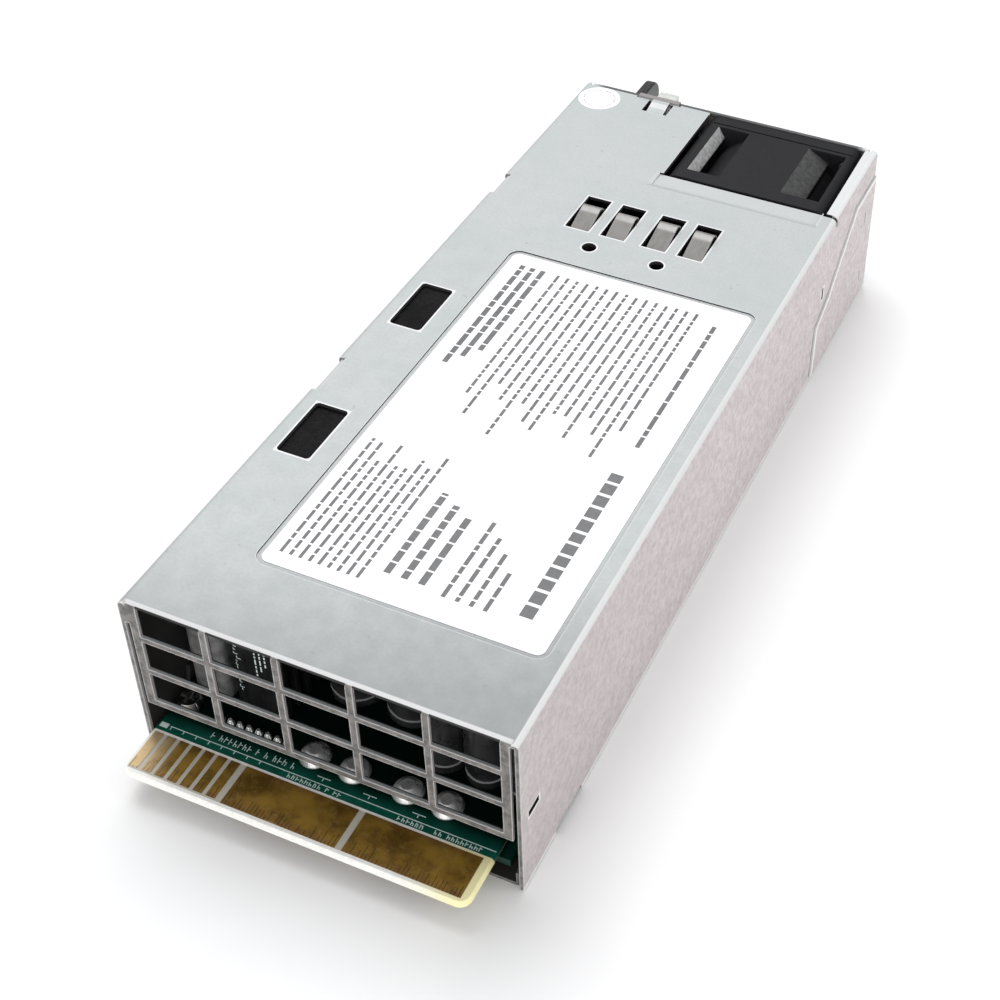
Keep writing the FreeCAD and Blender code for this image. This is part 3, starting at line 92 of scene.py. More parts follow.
class Surface:
    """A procedural material: a principled shader with the nodes that feed it.

    A mask is a socket that gives a number from nought to one. Axes are named "X", "Y" and "Z".
    """

    def __init__(self, name, **sockets):
        self.material = bpy.data.materials.new(name)
        self.material.use_nodes = True
        self.tree = self.material.node_tree
        self.shader = self.tree.nodes["Principled BSDF"]
        for socket, number in sockets.items():
            self.shader.inputs[socket.replace("_", " ")].default_value = number
        self.place = self.add("ShaderNodeTexCoord").outputs["Object"]
        self.normal = None
        self.tint = None

    def add(self, kind, **settings):
        """A new node with its properties set."""
        node = self.tree.nodes.new(kind)
        for key, setting in settings.items():
            setattr(node, key, setting)
        return node

    def feed(self, socket, source):
        """Give a socket a number, a colour, or what another socket gives."""
        if isinstance(source, (int, float)):
            socket.default_value = source
        elif isinstance(source, tuple):
            socket.default_value = (*source, 1)
        else:
            self.tree.links.new(source, socket)

    def noise(self, scale, detail=4.0, rough=0.55, stretch=None):
        node = self.add("ShaderNodeTexNoise")
        node.inputs["Scale"].default_value = scale
        node.inputs["Detail"].default_value = detail
        node.inputs["Roughness"].default_value = rough
        place = self.place
        if stretch:
            mapping = self.add("ShaderNodeMapping")
            mapping.inputs["Scale"].default_value = stretch
            self.feed(mapping.inputs["Vector"], place)
            place = mapping.outputs["Vector"]
        self.feed(node.inputs["Vector"], place)
        return node.outputs["Fac"]

    def ramp(self, source, low, high, start=0.0, end=1.0):
        """A smooth step from start, where the source is at low, to end, where it is at high."""
        node = self.add("ShaderNodeMapRange", interpolation_type="SMOOTHSTEP")
        self.feed(node.inputs["Value"], source)
        limits = {"From Min": low, "From Max": high, "To Min": start, "To Max": end}
        for name, number in limits.items():
            node.inputs[name].default_value = number
        return node.outputs["Result"]

    def maths(self, operation, first, second=0.0):
        node = self.add("ShaderNodeMath", operation=operation)
        self.feed(node.inputs[0], first)
        self.feed(node.inputs[1], second)
        return node.outputs[0]

    # colours

    def mix(self, mask, first, second):
        """The first colour where the mask is nought, the second where it is one."""
        node = self.add("ShaderNodeMix", data_type="RGBA")
        self.feed(node.inputs["Factor"], mask)
        self.feed(node.inputs["A"], first)
        self.feed(node.inputs["B"], second)
        return node.outputs["Result"]

    def paint(self, under, mask, colour, strength=1.0):
        """A colour laid over another one where the mask is one, at the given strength."""
        return self.mix(self.maths("MULTIPLY", mask, strength), under, colour)

    def patches(self, noise, dark, light, half=0.2):
        """Two colours in patches, each reached where the noise is half away from its middle."""
        return self.mix(self.ramp(noise, 0.5 - half, 0.5 + half), dark, light)

    # masks

    def axis(self, name):
        """The place along an axis."""
        node = self.add("ShaderNodeSeparateXYZ")
        self.feed(node.inputs[0], self.place)
        return node.outputs[name]

    def facing(self, name):
        """How far the true surface normal points along an axis."""
        node = self.add("ShaderNodeSeparateXYZ")
        self.feed(node.inputs[0], self.add("ShaderNodeNewGeometry").outputs["Normal"])
        return node.outputs[name]

    def past(self, name, start, end):
        """Nought up to start and one from end on, going either way along an axis."""
        return self.ramp(self.axis(name), start, end)

    def turned(self, name, start, end):
        """The same for how far the true normal points along an axis."""
        return self.ramp(self.facing(name), start, end)

    def span(self, name, low, high, soft=SOFT):
        """One between two places along an axis."""
        return self.every(self.past(name, low - soft, low), self.past(name, high + soft, high))

    def oblong(self, names, corners, margin=0.0):
        """One within a margin round an oblong, given by its low and high corners on two axes."""
        first, second = names
        return self.every(self.span(first, corners[0] - margin, corners[2] + margin),
                          self.span(second, corners[1] - margin, corners[3] + margin))

    def disc(self, middle, radius):
        """One within a distance of a point."""
        node = self.add("ShaderNodeVectorMath", operation="DISTANCE")
        self.feed(node.inputs[0], self.place)
        node.inputs[1].default_value = middle
        return self.ramp(node.outputs["Value"], radius + SOFT, radius)

    def highlight_edges(self, radius):
        """One along the edges, where a rounded normal leaves the true one; it places painted edge
        highlights.
        """
        node = self.add("ShaderNodeVectorMath", operation="DOT_PRODUCT")
        self.feed(node.inputs[0], self.rounded(radius))
        self.feed(node.inputs[1], self.add("ShaderNodeNewGeometry").outputs["Normal"])
        return self.ramp(node.outputs["Value"], *HIGHLIGHT_COSINES)

    def every(self, *masks):
        """One where every mask is one."""
        whole, *others = masks
        for mask in others:
            whole = self.maths("MULTIPLY", whole, mask)
        return whole

    def either(self, *masks):
        """One where any of the masks is one."""
        whole, *others = masks
        for mask in others:
            whole = self.maths("MAXIMUM", whole, mask)
        return whole

    def outside(self, mask):
        """One where the mask is nought."""
        return self.maths("SUBTRACT", 1.0, mask)

    # what the shader gets

    def rounded(self, radius):
        """The surface normal with the edges rounded off."""
        node = self.add("ShaderNodeBevel", samples=BEVEL_SAMPLES)
        node.inputs["Radius"].default_value = radius
        return node.outputs["Normal"]

    def use_normal(self, normal):
        self.normal = normal
        self.feed(self.shader.inputs["Normal"], normal)

    def bevel(self, radius):
        self.use_normal(self.rounded(radius))

    def bump(self, height, distance):
        node = self.add("ShaderNodeBump")
        node.inputs["Distance"].default_value = distance
        self.feed(node.inputs["Height"], height)
        if self.normal is not None:
            self.feed(node.inputs["Normal"], self.normal)
        self.use_normal(node.outputs["Normal"])

    def colour(self, tint):
        self.tint = tint
        self.feed(self.shader.inputs["Base Color"], tint)

    def rough(self, source):
        self.feed(self.shader.inputs["Roughness"], source)


def speckled(name, dark, light, rough, scale=900.0, bump=0.02, bevel=0.15, stretch=None, **sockets):
    """A surface whose colour and gloss vary with two noises; bump and bevel are in mm."""
    surface = Surface(name, **sockets)
    if bevel:
        surface.bevel(bevel * MM)
    fine = surface.noise(scale, stretch=stretch)
    coarse = surface.noise(scale * COARSE, detail=3.0)
    both = surface.maths("MULTIPLY", surface.maths("ADD", fine, coarse), 0.5)
    surface.colour(surface.patches(both, dark, light, half=0.15))
    surface.rough(surface.ramp(both, 0.3, 0.7, rough - GLOSS_SPREAD, rough + GLOSS_SPREAD))
    if bump:
        surface.bump(fine, bump * MM)
    return surface


def sheet_tint(surface, grain):
    """The cover's outer faces: grey roof with painted shade towards its near end, warmer brushed
    wall, and painted shade on the flange at the near end.
    """
    clouds = surface.noise(55.0, detail=6.0, rough=0.62)
    roof = surface.patches(clouds, (0.475, 0.505, 0.505), (0.50, 0.52, 0.525), half=0.16)
    roof = surface.paint(roof, surface.ramp(grain, 0.3, 0.7), (0.36, 0.37, 0.37), 0.22)
    lean = surface.maths("MULTIPLY", surface.axis("X"), NEAR_SHADE_SLANT)
    along = surface.maths("ADD", surface.axis("Y"), lean)
    near_shade = surface.ramp(along, -58.0 * MM, -104.0 * MM)
    roof = surface.paint(roof, near_shade, (0.20, 0.205, 0.206), 0.62)

    brushed = surface.noise(800.0, detail=6.0, rough=0.75, stretch=(1.0, 1.0, 0.85))
    wall = surface.patches(brushed, (0.500, 0.444, 0.442), (0.675, 0.618, 0.610), half=0.16)
    wall = surface.paint(wall, surface.past("Y", 10.0 * MM, -90.0 * MM), (0.36, 0.325, 0.318), 0.3)

    tint = surface.mix(surface.turned("X", 0.6, 0.9), roof, wall)
    specks = surface.noise(620.0, detail=1.0)
    tint = surface.paint(tint, surface.ramp(specks, 0.75, 0.79), (0.25, 0.25, 0.25), 0.3)
    # painted shade: the flange at the near end is painted dark in patches
    end_shade_noise = surface.noise(420.0, detail=6.0, rough=0.7)
    flange = surface.patches(end_shade_noise, (0.10, 0.094, 0.088), (0.24, 0.222, 0.21), half=0.15)
    return surface.mix(surface.turned("Y", -0.55, -0.85), tint, flange)


def seam_depth(surface):
    """How far a place on the right wall lies behind the stepped near edge of the rear flange."""
    depths = []
    for start, end in zip(SEAM, SEAM[1:]):
        run = (Vector(end) - Vector(start)).normalized()
        behind = surface.maths("SUBTRACT", surface.axis("Y"), start[0])
        above = surface.maths("SUBTRACT", surface.axis("Z"), start[1])
        depths.append(surface.maths("SUBTRACT", surface.maths("MULTIPLY", behind, run[1]),
                                    surface.maths("MULTIPLY", above, run[0])))
    foot, ledge, corner, slope, crown = depths
    upper = surface.maths("MINIMUM", corner, surface.maths("MINIMUM", slope, crown))
    return surface.maths("MINIMUM", foot, surface.maths("MAXIMUM", ledge, upper))


def edge_tint(surface, tint):
    """Painted highlights on the shining edges: bends, the roof's near lip, the proud flange edges,
    the rear flange's seam, rounded corners, and a flap by the fan.
    """
    bend = surface.every(surface.turned("X", 0.12, 0.3), surface.turned("X", 0.97, 0.8),
                         surface.past("Z", ROOF - BEND_RADIUS - 0.4 * MM, ROOF - BEND_RADIUS))
    lip = surface.every(surface.turned("Y", -0.2, -0.4),
                        surface.past("Z", ROOF - 0.6 * MM, ROOF - 0.4 * MM))
    proud = surface.every(surface.past("X", WALL + 0.01 * MM, WALL + 0.05 * MM),
                          surface.turned("X", 0.8, 0.6))
    # painted highlights on the bends, the roof's near lip and the proud flange edges
    tint = surface.paint(tint, surface.either(bend, lip, proud), (0.70, 0.70, 0.70))
    # painted highlight along the rear flange's stepped edge
    seam = surface.every(surface.ramp(seam_depth(surface), 1.1 * MM, 0.8 * MM),
                         surface.past("X", FLANGE_FACE - 0.10 * MM, FLANGE_FACE - 0.05 * MM))
    tint = surface.paint(tint, seam, (0.93, 0.92, 0.91), 0.85)
    # painted highlight on every rounded edge
    tint = surface.paint(tint, surface.highlight_edges(0.42 * MM), (0.88, 0.88, 0.88), 0.7)
    # painted highlight on a flap by the fan
    flap = surface.every(surface.past("X", fan_high.x - 0.6 * MM, fan_high.x - 0.2 * MM),
                         surface.past("Y", fan_low.y - 0.6 * MM, fan_low.y),
                         surface.turned("Z", *UPWARD))
    return surface.paint(tint, flap, (0.80, 0.80, 0.80), 0.6)


def inner_faces(surface):
    """A mask of the faces inside the case, but not in the notches at the roof's left edge."""
    notch = surface.every(surface.past("Z", ROOF - 1.9 * MM, ROOF - 1.7 * MM),
                          surface.past("X", NOTCH_EDGE, NOTCH_EDGE - 0.2 * MM))
    return surface.every(surface.span("X", SKIN - WALL, WALL - SKIN),
                         surface.span("Y", NEAR_END + SKIN, FAR_END - 1.0 * MM),
                         surface.span("Z", 0.4 * MM, ROOF - SKIN), surface.outside(notch))


def roof_step(surface):
    """A mask of the shallow step in the roof beside the fan cut-out."""
    return surface.every(surface.span("X", fan_low.x - 2.0 * MM, fan_high.x),
                         surface.span("Y", fan_low.y - 6.0 * MM, fan_low.y - 0.7 * MM),
                         surface.past("Z", ROOF - 0.60 * MM, ROOF - 0.55 * MM))


def cut_faces(surface, step):
    """A mask of the sheet's thickness in the roof's openings."""
    return surface.every(surface.span("X", NOTCH_EDGE, 35.3 * MM),
                         surface.span("Y", -90.8 * MM, 90.9 * MM),
                         surface.past("Z", ROOF - 1.2 * MM, ROOF - 1.0 * MM),
                         surface.turned("Z", 0.5, 0.2), surface.turned("Z", -0.8, -0.5),
                         surface.outside(step))


def opening_tint(surface, tint):
    """Painted highlights round the openings and along the bottom edge, painted shadow under the
    roof's front edge in the grille's openings, and painted shade in the gap along the right wall.
    """
    # painted highlight on the margins of the side slots and along the bottom edge
    slots = surface.either(*[surface.oblong("YZ", slot) for slot in SIDE_SLOTS])
    bottom = surface.past("Z", 1.1 * MM, 0.8 * MM)
    side = surface.every(surface.either(slots, bottom),
                         surface.past("X", WALL - 0.15 * MM, WALL - 0.07 * MM))
    tint = surface.paint(tint, side, (0.90, 0.88, 0.87), 0.8)

    # painted highlight round the roof's openings and holes
    margin = 0.3 * MM
    rings = [surface.oblong("XY", opening, margin) for opening in OPENINGS]
    rings += [surface.disc(hole, HOLE_RADIUS + margin) for hole in HOLES]
    halo = surface.every(surface.either(*rings), surface.turned("Z", *UPWARD),
                         surface.past("Z", ROOF - 0.2 * MM, ROOF - 0.1 * MM))
    tint = surface.paint(tint, halo, (0.93, 0.93, 0.93), 0.6)

    # painted shadow under the roof's front edge, over each column of the grille's openings
    from_left = surface.maths("ADD", surface.axis("X"), GRILLE_HALF)
    column = surface.maths("FRACT", surface.maths("DIVIDE", from_left, GRILLE_PITCH))
    eave = surface.every(surface.ramp(column, BAR_START + 0.005, BAR_START - 0.005),
                         surface.turned("Y", -0.5, -0.7), surface.span("Z", 37.1 * MM, 37.5 * MM),
                         surface.span("X", -GRILLE_HALF, GRILLE_HALF))
    tint = surface.paint(tint, eave, (0.015, 0.015, 0.015))
    # painted shade on the faces in the gap along the right wall
    slit = surface.every(surface.turned("X", 0.4, 0.3), surface.span("Z", 1.6 * MM, 35.5 * MM),
                         surface.span("X", 35.9 * MM, WALL - 0.07 * MM, soft=0.04 * MM),
                         surface.span("Y", NEAR_END + 0.5 * MM, FAR_END - 1.0 * MM))
    return surface.paint(tint, slit, (0.02, 0.02, 0.02))


def rear_tint(surface, tint):
    """Painted shade on the rear panel's rim above the roof, and its hook in a darker grey."""
    # painted shade on the rear panel's rim just above the roof
    rim = surface.every(surface.span("X", -31.5 * MM, 31.5 * MM, soft=3.0 * MM),
                        surface.past("Y", FAR_END - 0.95 * MM, FAR_END - 0.85 * MM),
                        surface.past("Z", ROOF - 0.8 * MM, ROOF - 0.6 * MM),
                        surface.past("Z", ROOF + 0.25 * MM, ROOF + 0.2 * MM))
    tint = surface.paint(tint, rim, (0.10, 0.10, 0.10))
    hook = surface.every(surface.past("Z", ROOF, ROOF + 0.2 * MM),
                         surface.past("Y", FAR_END - 1.7 * MM, FAR_END - 1.5 * MM))
    return surface.paint(tint, hook, (0.27, 0.255, 0.25))


def cover_surface():
    """Zinc-plated sheet: satin grey outside, with painted highlights on the edges, and painted
    shade on the inner faces.
    """
    surface = Surface("cover_zinc")
    surface.bevel(0.22 * MM)
    grain = surface.noise(1500.0, detail=2.0)
    tint = edge_tint(surface, sheet_tint(surface, grain))

    inner, step = inner_faces(surface), roof_step(surface)
    cut = cut_faces(surface, step)
    flat = surface.turned("Z", *UPWARD)
    # painted shade on the faces inside the case and on the sheet's thickness in the roof's openings
    tint = surface.paint(tint, inner, (0.022, 0.021, 0.020))
    tint = surface.paint(tint, cut, (0.03, 0.03, 0.03))
    tint = surface.paint(tint, surface.every(step, flat), (0.62, 0.63, 0.63), 0.3)
    # painted shade along the near edge of the step beside the fan
    crease = surface.every(
        surface.span("Y", fan_low.y - 6.3 * MM, fan_low.y - 5.9 * MM, soft=0.2 * MM),
        surface.span("X", fan_low.x - 2.0 * MM, fan_high.x), flat)
    tint = surface.paint(tint, crease, (0.25, 0.25, 0.25), 0.35)
    surface.colour(rear_tint(surface, opening_tint(surface, tint)))

    dark = surface.either(inner, cut)
    surface.feed(surface.shader.inputs["Metallic"],
                 surface.maths("MULTIPLY", surface.outside(dark), 0.15))
    gloss = surface.ramp(surface.noise(240.0), 0.3, 0.7, 0.54, 0.64)
    surface.rough(surface.either(gloss, surface.maths("MULTIPLY", dark, 0.8)))
    surface.bump(surface.noise(90.0, detail=6.0, rough=0.6), 0.005 * MM)
    surface.bump(grain, 0.010 * MM)
    return surface


def board_surface():
    """Card-edge board: cream laminate in front of the solder mask's edge, green mask behind it,
    with painted shade that darkens the mask and lowers its specular level farther in.
    """
    surface = Surface("board_laminate")
    surface.bevel(0.1 * MM)
    weave = surface.noise(1400.0, detail=3.0, stretch=(1.0, 0.25, 1.0))
    laminate = surface.patches(weave, (0.92, 0.90, 0.84), (1.0, 0.99, 0.95))
    laminate = surface.paint(laminate, surface.past("X", 18.0 * MM, 30.5 * MM), (0.97, 0.90, 0.50))
    between = surface.every(surface.span("X", contacts_low.x, contacts_high.x),
                            surface.span("Y", contacts_low.y, contacts_high.y),
                            surface.turned("Z", 0.8, 0.9))
    laminate = surface.paint(laminate, between, (0.42, 0.39, 0.31), 0.8)

    mottle = surface.noise(300.0)
    mask = surface.patches(mottle, (0.0, 0.070, 0.045), (0.0, 0.115, 0.075))
    # painted shade: the mask darkens and loses its specular level farther into the case
    depth = surface.past("Y", MASK_EDGE + 1.1 * MM, MASK_EDGE + 4.6 * MM)
    mask = surface.paint(mask, depth, (0.002, 0.008, 0.006))
    inside = surface.past("Y", MASK_EDGE - 0.05 * MM, MASK_EDGE + 0.05 * MM)
    faces = surface.either(surface.turned("Z", 0.5, 0.6), surface.turned("Z", -0.5, -0.6))
    bare = surface.paint(laminate, inside, (0.10, 0.12, 0.07))
    surface.colour(surface.mix(surface.every(inside, faces), bare, mask))
    surface.rough(surface.ramp(mottle, 0.3, 0.7, 0.3, 0.5))
    surface.feed(surface.shader.inputs["Specular IOR Level"],
                 surface.maths("MULTIPLY", surface.outside(depth), 0.5))
    surface.bump(weave, 0.01 * MM)
    return surface


def contact_surface():
    """Gold-flashed copper, browned and scuffed, with thin insertion marks at the near edge."""
    surface = Surface("contact_gold", Metallic=0.45)
    cloud = surface.noise(150.0, detail=8.0, rough=0.7)
    fine = surface.noise(900.0, detail=4.0, rough=0.7)
    tint = surface.patches(cloud, (0.135, 0.070, 0.006), (0.36, 0.205, 0.024), half=0.16)
    tint = surface.paint(tint, surface.ramp(fine, 0.52, 0.72), (0.36, 0.23, 0.075), 0.5)
    ends = surface.either(surface.past("Y", -94.5 * MM, -93.4 * MM),
                          surface.past("Y", -99.5 * MM, -101.0 * MM))
    tint = surface.paint(tint, ends, (0.20, 0.095, 0.03), 0.45)
    rubbed = surface.every(surface.past("X", -27.5 * MM, -32.5 * MM),
                           surface.ramp(cloud, 0.25, 0.6))
    tint = surface.paint(tint, rubbed, (0.62, 0.47, 0.27), 0.85)

    # one insertion mark in each cell across the board, of a random length
    cells_per_metre, middle_cell = 1450.0, 100.0
    cells_off = surface.maths("MULTIPLY", surface.axis("X"), cells_per_metre)
    cell = surface.maths("ADD", cells_off, middle_cell)
    off_middle = surface.maths("SUBTRACT", surface.maths("FRACT", cell), 0.5)
    thin = surface.ramp(surface.maths("ABSOLUTE", off_middle), 0.12, 0.05)
    number = surface.add("ShaderNodeTexWhiteNoise", noise_dimensions="1D")
    surface.feed(number.inputs["W"], surface.maths("FLOOR", cell))
    length = surface.maths("MULTIPLY", number.outputs["Value"], 3.0 * MM)
    end = surface.maths("ADD", length, contacts_low.y + 0.15 * MM)
    before_end = surface.ramp(surface.maths("SUBTRACT", end, surface.axis("Y")), 0.0, 0.4 * MM)
    tint = surface.paint(tint, surface.every(thin, before_end), (0.012, 0.008, 0.004), 0.85)

    scratch = surface.noise(700.0, detail=3.0, stretch=(0.15, 1.0, 1.0))
    surface.colour(surface.paint(tint, surface.ramp(scratch, 0.66, 0.74), (0.5, 0.36, 0.18), 0.4))
    surface.rough(surface.ramp(cloud, 0.3, 0.7, 0.36, 0.56))
    surface.bump(fine, 0.008 * MM)
    return surface


def fan_surface():
    """Black glass-filled plastic, dull on top, with painted light on the drafted pocket walls."""
    surface = speckled("fan_plastic", (0.008, 0.008, 0.009), (0.015, 0.015, 0.017), 0.6,
                       scale=700.0, bump=0.03, bevel=0.35, Specular_IOR_Level=0.2)
    slope = surface.turned("X", 0.3, 0.6)
    left = surface.every(slope, surface.past("Z", 31.5 * MM, 31.8 * MM),
                         surface.span("X", -1.0 * MM, 6.8 * MM))
    right = surface.every(slope, surface.past("Z", 34.0 * MM, 35.0 * MM),
                          surface.span("X", 19.0 * MM, 27.5 * MM))
    # painted light: the pocket walls facing the light are painted paler in patches
    pocket_light_noise = surface.noise(900.0, detail=6.0, rough=0.8)
    left_wall_light = surface.patches(pocket_light_noise, (0.30, 0.30, 0.30), (0.52, 0.52, 0.52), half=0.15)
    right_wall_light = surface.patches(pocket_light_noise, (0.055, 0.055, 0.056), (0.11, 0.11, 0.11), half=0.15)
    surface.colour(surface.mix(right, surface.mix(left, surface.tint, left_wall_light), right_wall_light))
    return surface


def spring_surface():
    """Tinned spring strip, brushed along its length, with painted highlights on its crest and
    edges.
    """
    surface = speckled("spring_strip", (0.075, 0.072, 0.067), (0.19, 0.182, 0.174), 0.45,
                       scale=1100.0, stretch=(1.0, 0.10, 1.0), bevel=0.25, Metallic=0.45)
    # painted highlights on the crest and along the edges
    crest = surface.maths("MULTIPLY", surface.past("Z", ROOF + 0.75 * MM, ROOF + 1.0 * MM), 0.3)
    edge = surface.maths("MULTIPLY", surface.highlight_edges(0.35 * MM), 0.6)
    surface.colour(surface.paint(surface.tint, surface.either(crest, edge), (0.62, 0.61, 0.60)))
    return surface


def label_surface():
    """White label film with a slight sheen."""
    surface = Surface("label_film")
    paper = surface.noise(700.0, detail=3.0)
    surface.colour(surface.patches(paper, (0.90, 0.905, 0.91), (0.95, 0.95, 0.95)))
    surface.rough(surface.ramp(paper, 0.3, 0.7, 0.36, 0.5))
    surface.bump(paper, 0.004 * MM)
    return surface


def capacitor_surface():
    """Dark sleeve with a bare silver top."""
    surface = speckled("capacitor_sleeve", (0.010, 0.010, 0.011), (0.034, 0.034, 0.036), 0.28,
                       scale=300.0)
    surface.colour(surface.paint(surface.tint, surface.turned("Z", 0.8, 0.9), (0.5, 0.5, 0.5)))
    return surface


FINISHES = [
    (cover_surface(), ["top_cover", "base_tray", "rear_panel"]),
    (label_surface(), ["rating_label", "seal_sticker"]),
    (speckled("insulating_film", (0.0005, 0.0005, 0.0005), (0.016, 0.016, 0.016), 0.6, scale=1500.0,
              Specular_IOR_Level=0.07), ["insulation_film"]),
    (spring_surface(), ["ground_spring_left", "ground_spring_right"]),
    (speckled("latch_steel", (0.42, 0.42, 0.42), (0.6, 0.6, 0.6), 0.34, Metallic=0.9,
              stretch=(1.0, 0.12, 1.0)), ["latch_spring", "latch_foot"]),
    (fan_surface(), ["fan_frame", "fan_impeller"]),
    (speckled("stator_lamination", (0.12, 0.1, 0.08), (0.3, 0.28, 0.25), 0.5, Metallic=0.7,
              scale=1600.0, stretch=(0.05, 1.0, 0.05)), ["fan_stator"]),
    (speckled("plated_wire", (0.5, 0.5, 0.5), (0.68, 0.68, 0.68), 0.22, Metallic=1.0, scale=500.0),
     ["fan_guard", "pull_handle"]),
    (speckled("plated_screw", (0.35, 0.35, 0.34), (0.62, 0.62, 0.6), 0.26, Metallic=1.0,
              scale=800.0), ["fan_screws", "board_screws", "latch_rivets", "board_standoffs"]),
    (speckled("black_moulding", (0.012, 0.012, 0.012), (0.028, 0.028, 0.028), 0.36, bevel=0.25),
     ["inlet_socket", "latch_tab", "relay"]),
    (speckled("blade_nickel", (0.5, 0.47, 0.4), (0.7, 0.67, 0.6), 0.25, Metallic=1.0),
     ["inlet_blades"]),
    (speckled("light_pipe", (0.82, 0.84, 0.8), (0.93, 0.94, 0.9), 0.2, scale=300.0,
              Transmission_Weight=0.35), ["status_lens"]),
    (board_surface(), ["edge_board"]),
    # the boards inside the case: solder mask painted far darker than the edge board's, as painted
    # shade
    (speckled("solder_mask", (0.0, 0.018, 0.013), (0.0, 0.035, 0.025), 0.35, scale=400.0),
     ["main_board", "inlet_board", "control_board"]),
    (contact_surface(), ["edge_contacts_top", "edge_contacts_bottom"]),
    (speckled("solder", (0.62, 0.62, 0.61), (0.92, 0.92, 0.90), 0.3, Metallic=0.75, scale=380.0,
              bump=0.10, bevel=0.3), ["solder_joints"]),
    (capacitor_surface(), ["output_capacitors", "bulk_capacitor"]),
    (speckled("ferrite", (0.06, 0.06, 0.06), (0.12, 0.12, 0.12), 0.6, bump=0.04),
     ["transformer_core", "boost_choke_core", "mains_choke_core"]),
    (speckled("choke_block", (0.09, 0.09, 0.09), (0.22, 0.22, 0.22), 0.5, scale=500.0, bevel=0.3),
     ["output_choke"]),
    (speckled("winding_tape", (0.45, 0.28, 0.04), (0.62, 0.42, 0.08), 0.35, scale=300.0),
     ["transformer_winding"]),
    (speckled("enamelled_copper", (0.35, 0.12, 0.05), (0.6, 0.24, 0.1), 0.25, Metallic=0.9),
     ["boost_choke_winding", "mains_choke_winding"]),
    (speckled("dark_anodised", (0.010, 0.010, 0.011), (0.03, 0.03, 0.032), 0.4, Metallic=0.4,
              scale=1100.0, stretch=(1.0, 1.0, 0.1), Specular_IOR_Level=0.2),
     ["primary_heatsink", "secondary_heatsink"]),
    (speckled("moulded_epoxy", (0.02, 0.02, 0.02), (0.045, 0.045, 0.045), 0.5),
     ["power_transistors", "fuse", "fan_header"]),
    (speckled("potted_box", (0.5, 0.36, 0.03), (0.66, 0.5, 0.06), 0.35, scale=300.0),
     ["filter_capacitor"]),
    (speckled("wire_jacket", (0.010, 0.010, 0.010), (0.025, 0.025, 0.025), 0.4, scale=300.0,
              bevel=None), ["fan_lead"]),
]
for surface, nodes in FINISHES:
    for node in nodes:
        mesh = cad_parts[node].data
        mesh.materials.clear()
        mesh.materials.append(surface.material)

ink = speckled("printed_grey", (0.10, 0.10, 0.105), (0.18, 0.18, 0.185), 0.5, bevel=None, bump=None)
faint_ink = speckled("printed_faint", (0.42, 0.44, 0.46), (0.55, 0.57, 0.59), 0.5, bevel=None,
                     bump=None)
silk = speckled("silkscreen", (0.66, 0.83, 0.77), (0.85, 0.97, 0.93), 0.5, bevel=None, bump=None)

# ---- printed pieces: blank marks where the object has text, in mm --------------------------------

# how far a mark reaches below its face, and above it
LABEL_SUNK, LABEL_PROUD = 0.02, 0.02
SILK_SUNK, SILK_PROUD = 0.01, 0.015
SINK_SUNK, SINK_PROUD = 0.02, 0.01
STROKE = 0.16               # how wide a printed stroke is


def piece(name, build, material, body="chassis"):
    """A mesh made by build(bmesh), with its material, riding on a body."""
    mesh = bpy.data.meshes.new(name)
    shape = bmesh.new()
    build(shape)
    bmesh.ops.recalc_face_normals(shape, faces=shape.faces)
    shape.to_mesh(mesh)
    shape.free()
    mesh.materials.append(material)
    item = bpy.data.objects.new(name, mesh)
    bpy.context.scene.collection.objects.link(item)
    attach(item, body)
    return item


def plate(shape, low, high):
    """A closed box between two corners, in mm."""
    made = bmesh.ops.create_cube(shape, size=1.0)
    low, high = Vector(low) * MM, Vector(high) * MM
    bmesh.ops.scale(shape, vec=high - low, verts=made["verts"])
    bmesh.ops.translate(shape, vec=(high + low) / 2, verts=made["verts"])


def blank_line(shape, across, start, end, height, word=(0.9, 3.4), gap=0.42):
    """One line of blank text: dashes of uneven length along Y, at one place across X."""
    along = start
    top = label_high.z / MM
    while along < end - 0.5:
        run = min(rng.uniform(*word), end - along)
        plate(shape, (across, along, top - LABEL_SUNK),
              (across + height, along + run, top + LABEL_PROUD))
        along += run + gap


def blank_lines(shape, count, first, pitch, height, reach, **words):
    """Lines of blank text side by side; reach(line) says where each one starts and ends."""
    for line in range(count):
        start, end = reach(line)
        blank_line(shape, first + pitch * line, start, end, height, **words)


def label_text(shape):
    """The label's blocks of blank text and its two long lines."""
    left, near = label_low.x / MM, label_low.y / MM
    right, far = label_high.x / MM, label_high.y / MM
    ragged = (near + 52.0, near + 46.0, near + 55.0)
    blank_lines(shape, count=3, first=left + 3.0, pitch=2.3, height=1.1, word=(1.6, 5.0),
                reach=lambda line: (far - 38.0 + 3.0 * line, far - 3.5))
    blank_lines(shape, count=15, first=left + 11.4, pitch=2.2, height=0.62,
                reach=lambda line: (ragged[line % 3] + rng.uniform(-3.0, 3.0), far - 3.6))
    blank_lines(shape, count=9, first=left + 2.2, pitch=1.85, height=0.62,
                reach=lambda line: (near + 3.0, near + 33.0 + rng.uniform(-4.0, 3.0)))
    blank_lines(shape, count=3, first=left + 20.6, pitch=3.3, height=1.3, word=(1.8, 4.0),
                reach=lambda line: (near + 6.0, near + 27.0 - 2.0 * line))
    blank_lines(shape, count=4, first=left + 32.0, pitch=2.6, height=0.8,
                reach=lambda line: (near + 5.0, near + 24.0 - 3.0 * line))
    blank_line(shape, across=right - 7.4, start=near + 6.5, end=near + 44.0, height=2.5,
               word=(2.2, 2.9), gap=0.7)
    blank_line(shape, across=right - 6.4, start=near + 52.0, end=far - 6.0, height=0.9,
               word=(1.6, 4.6))


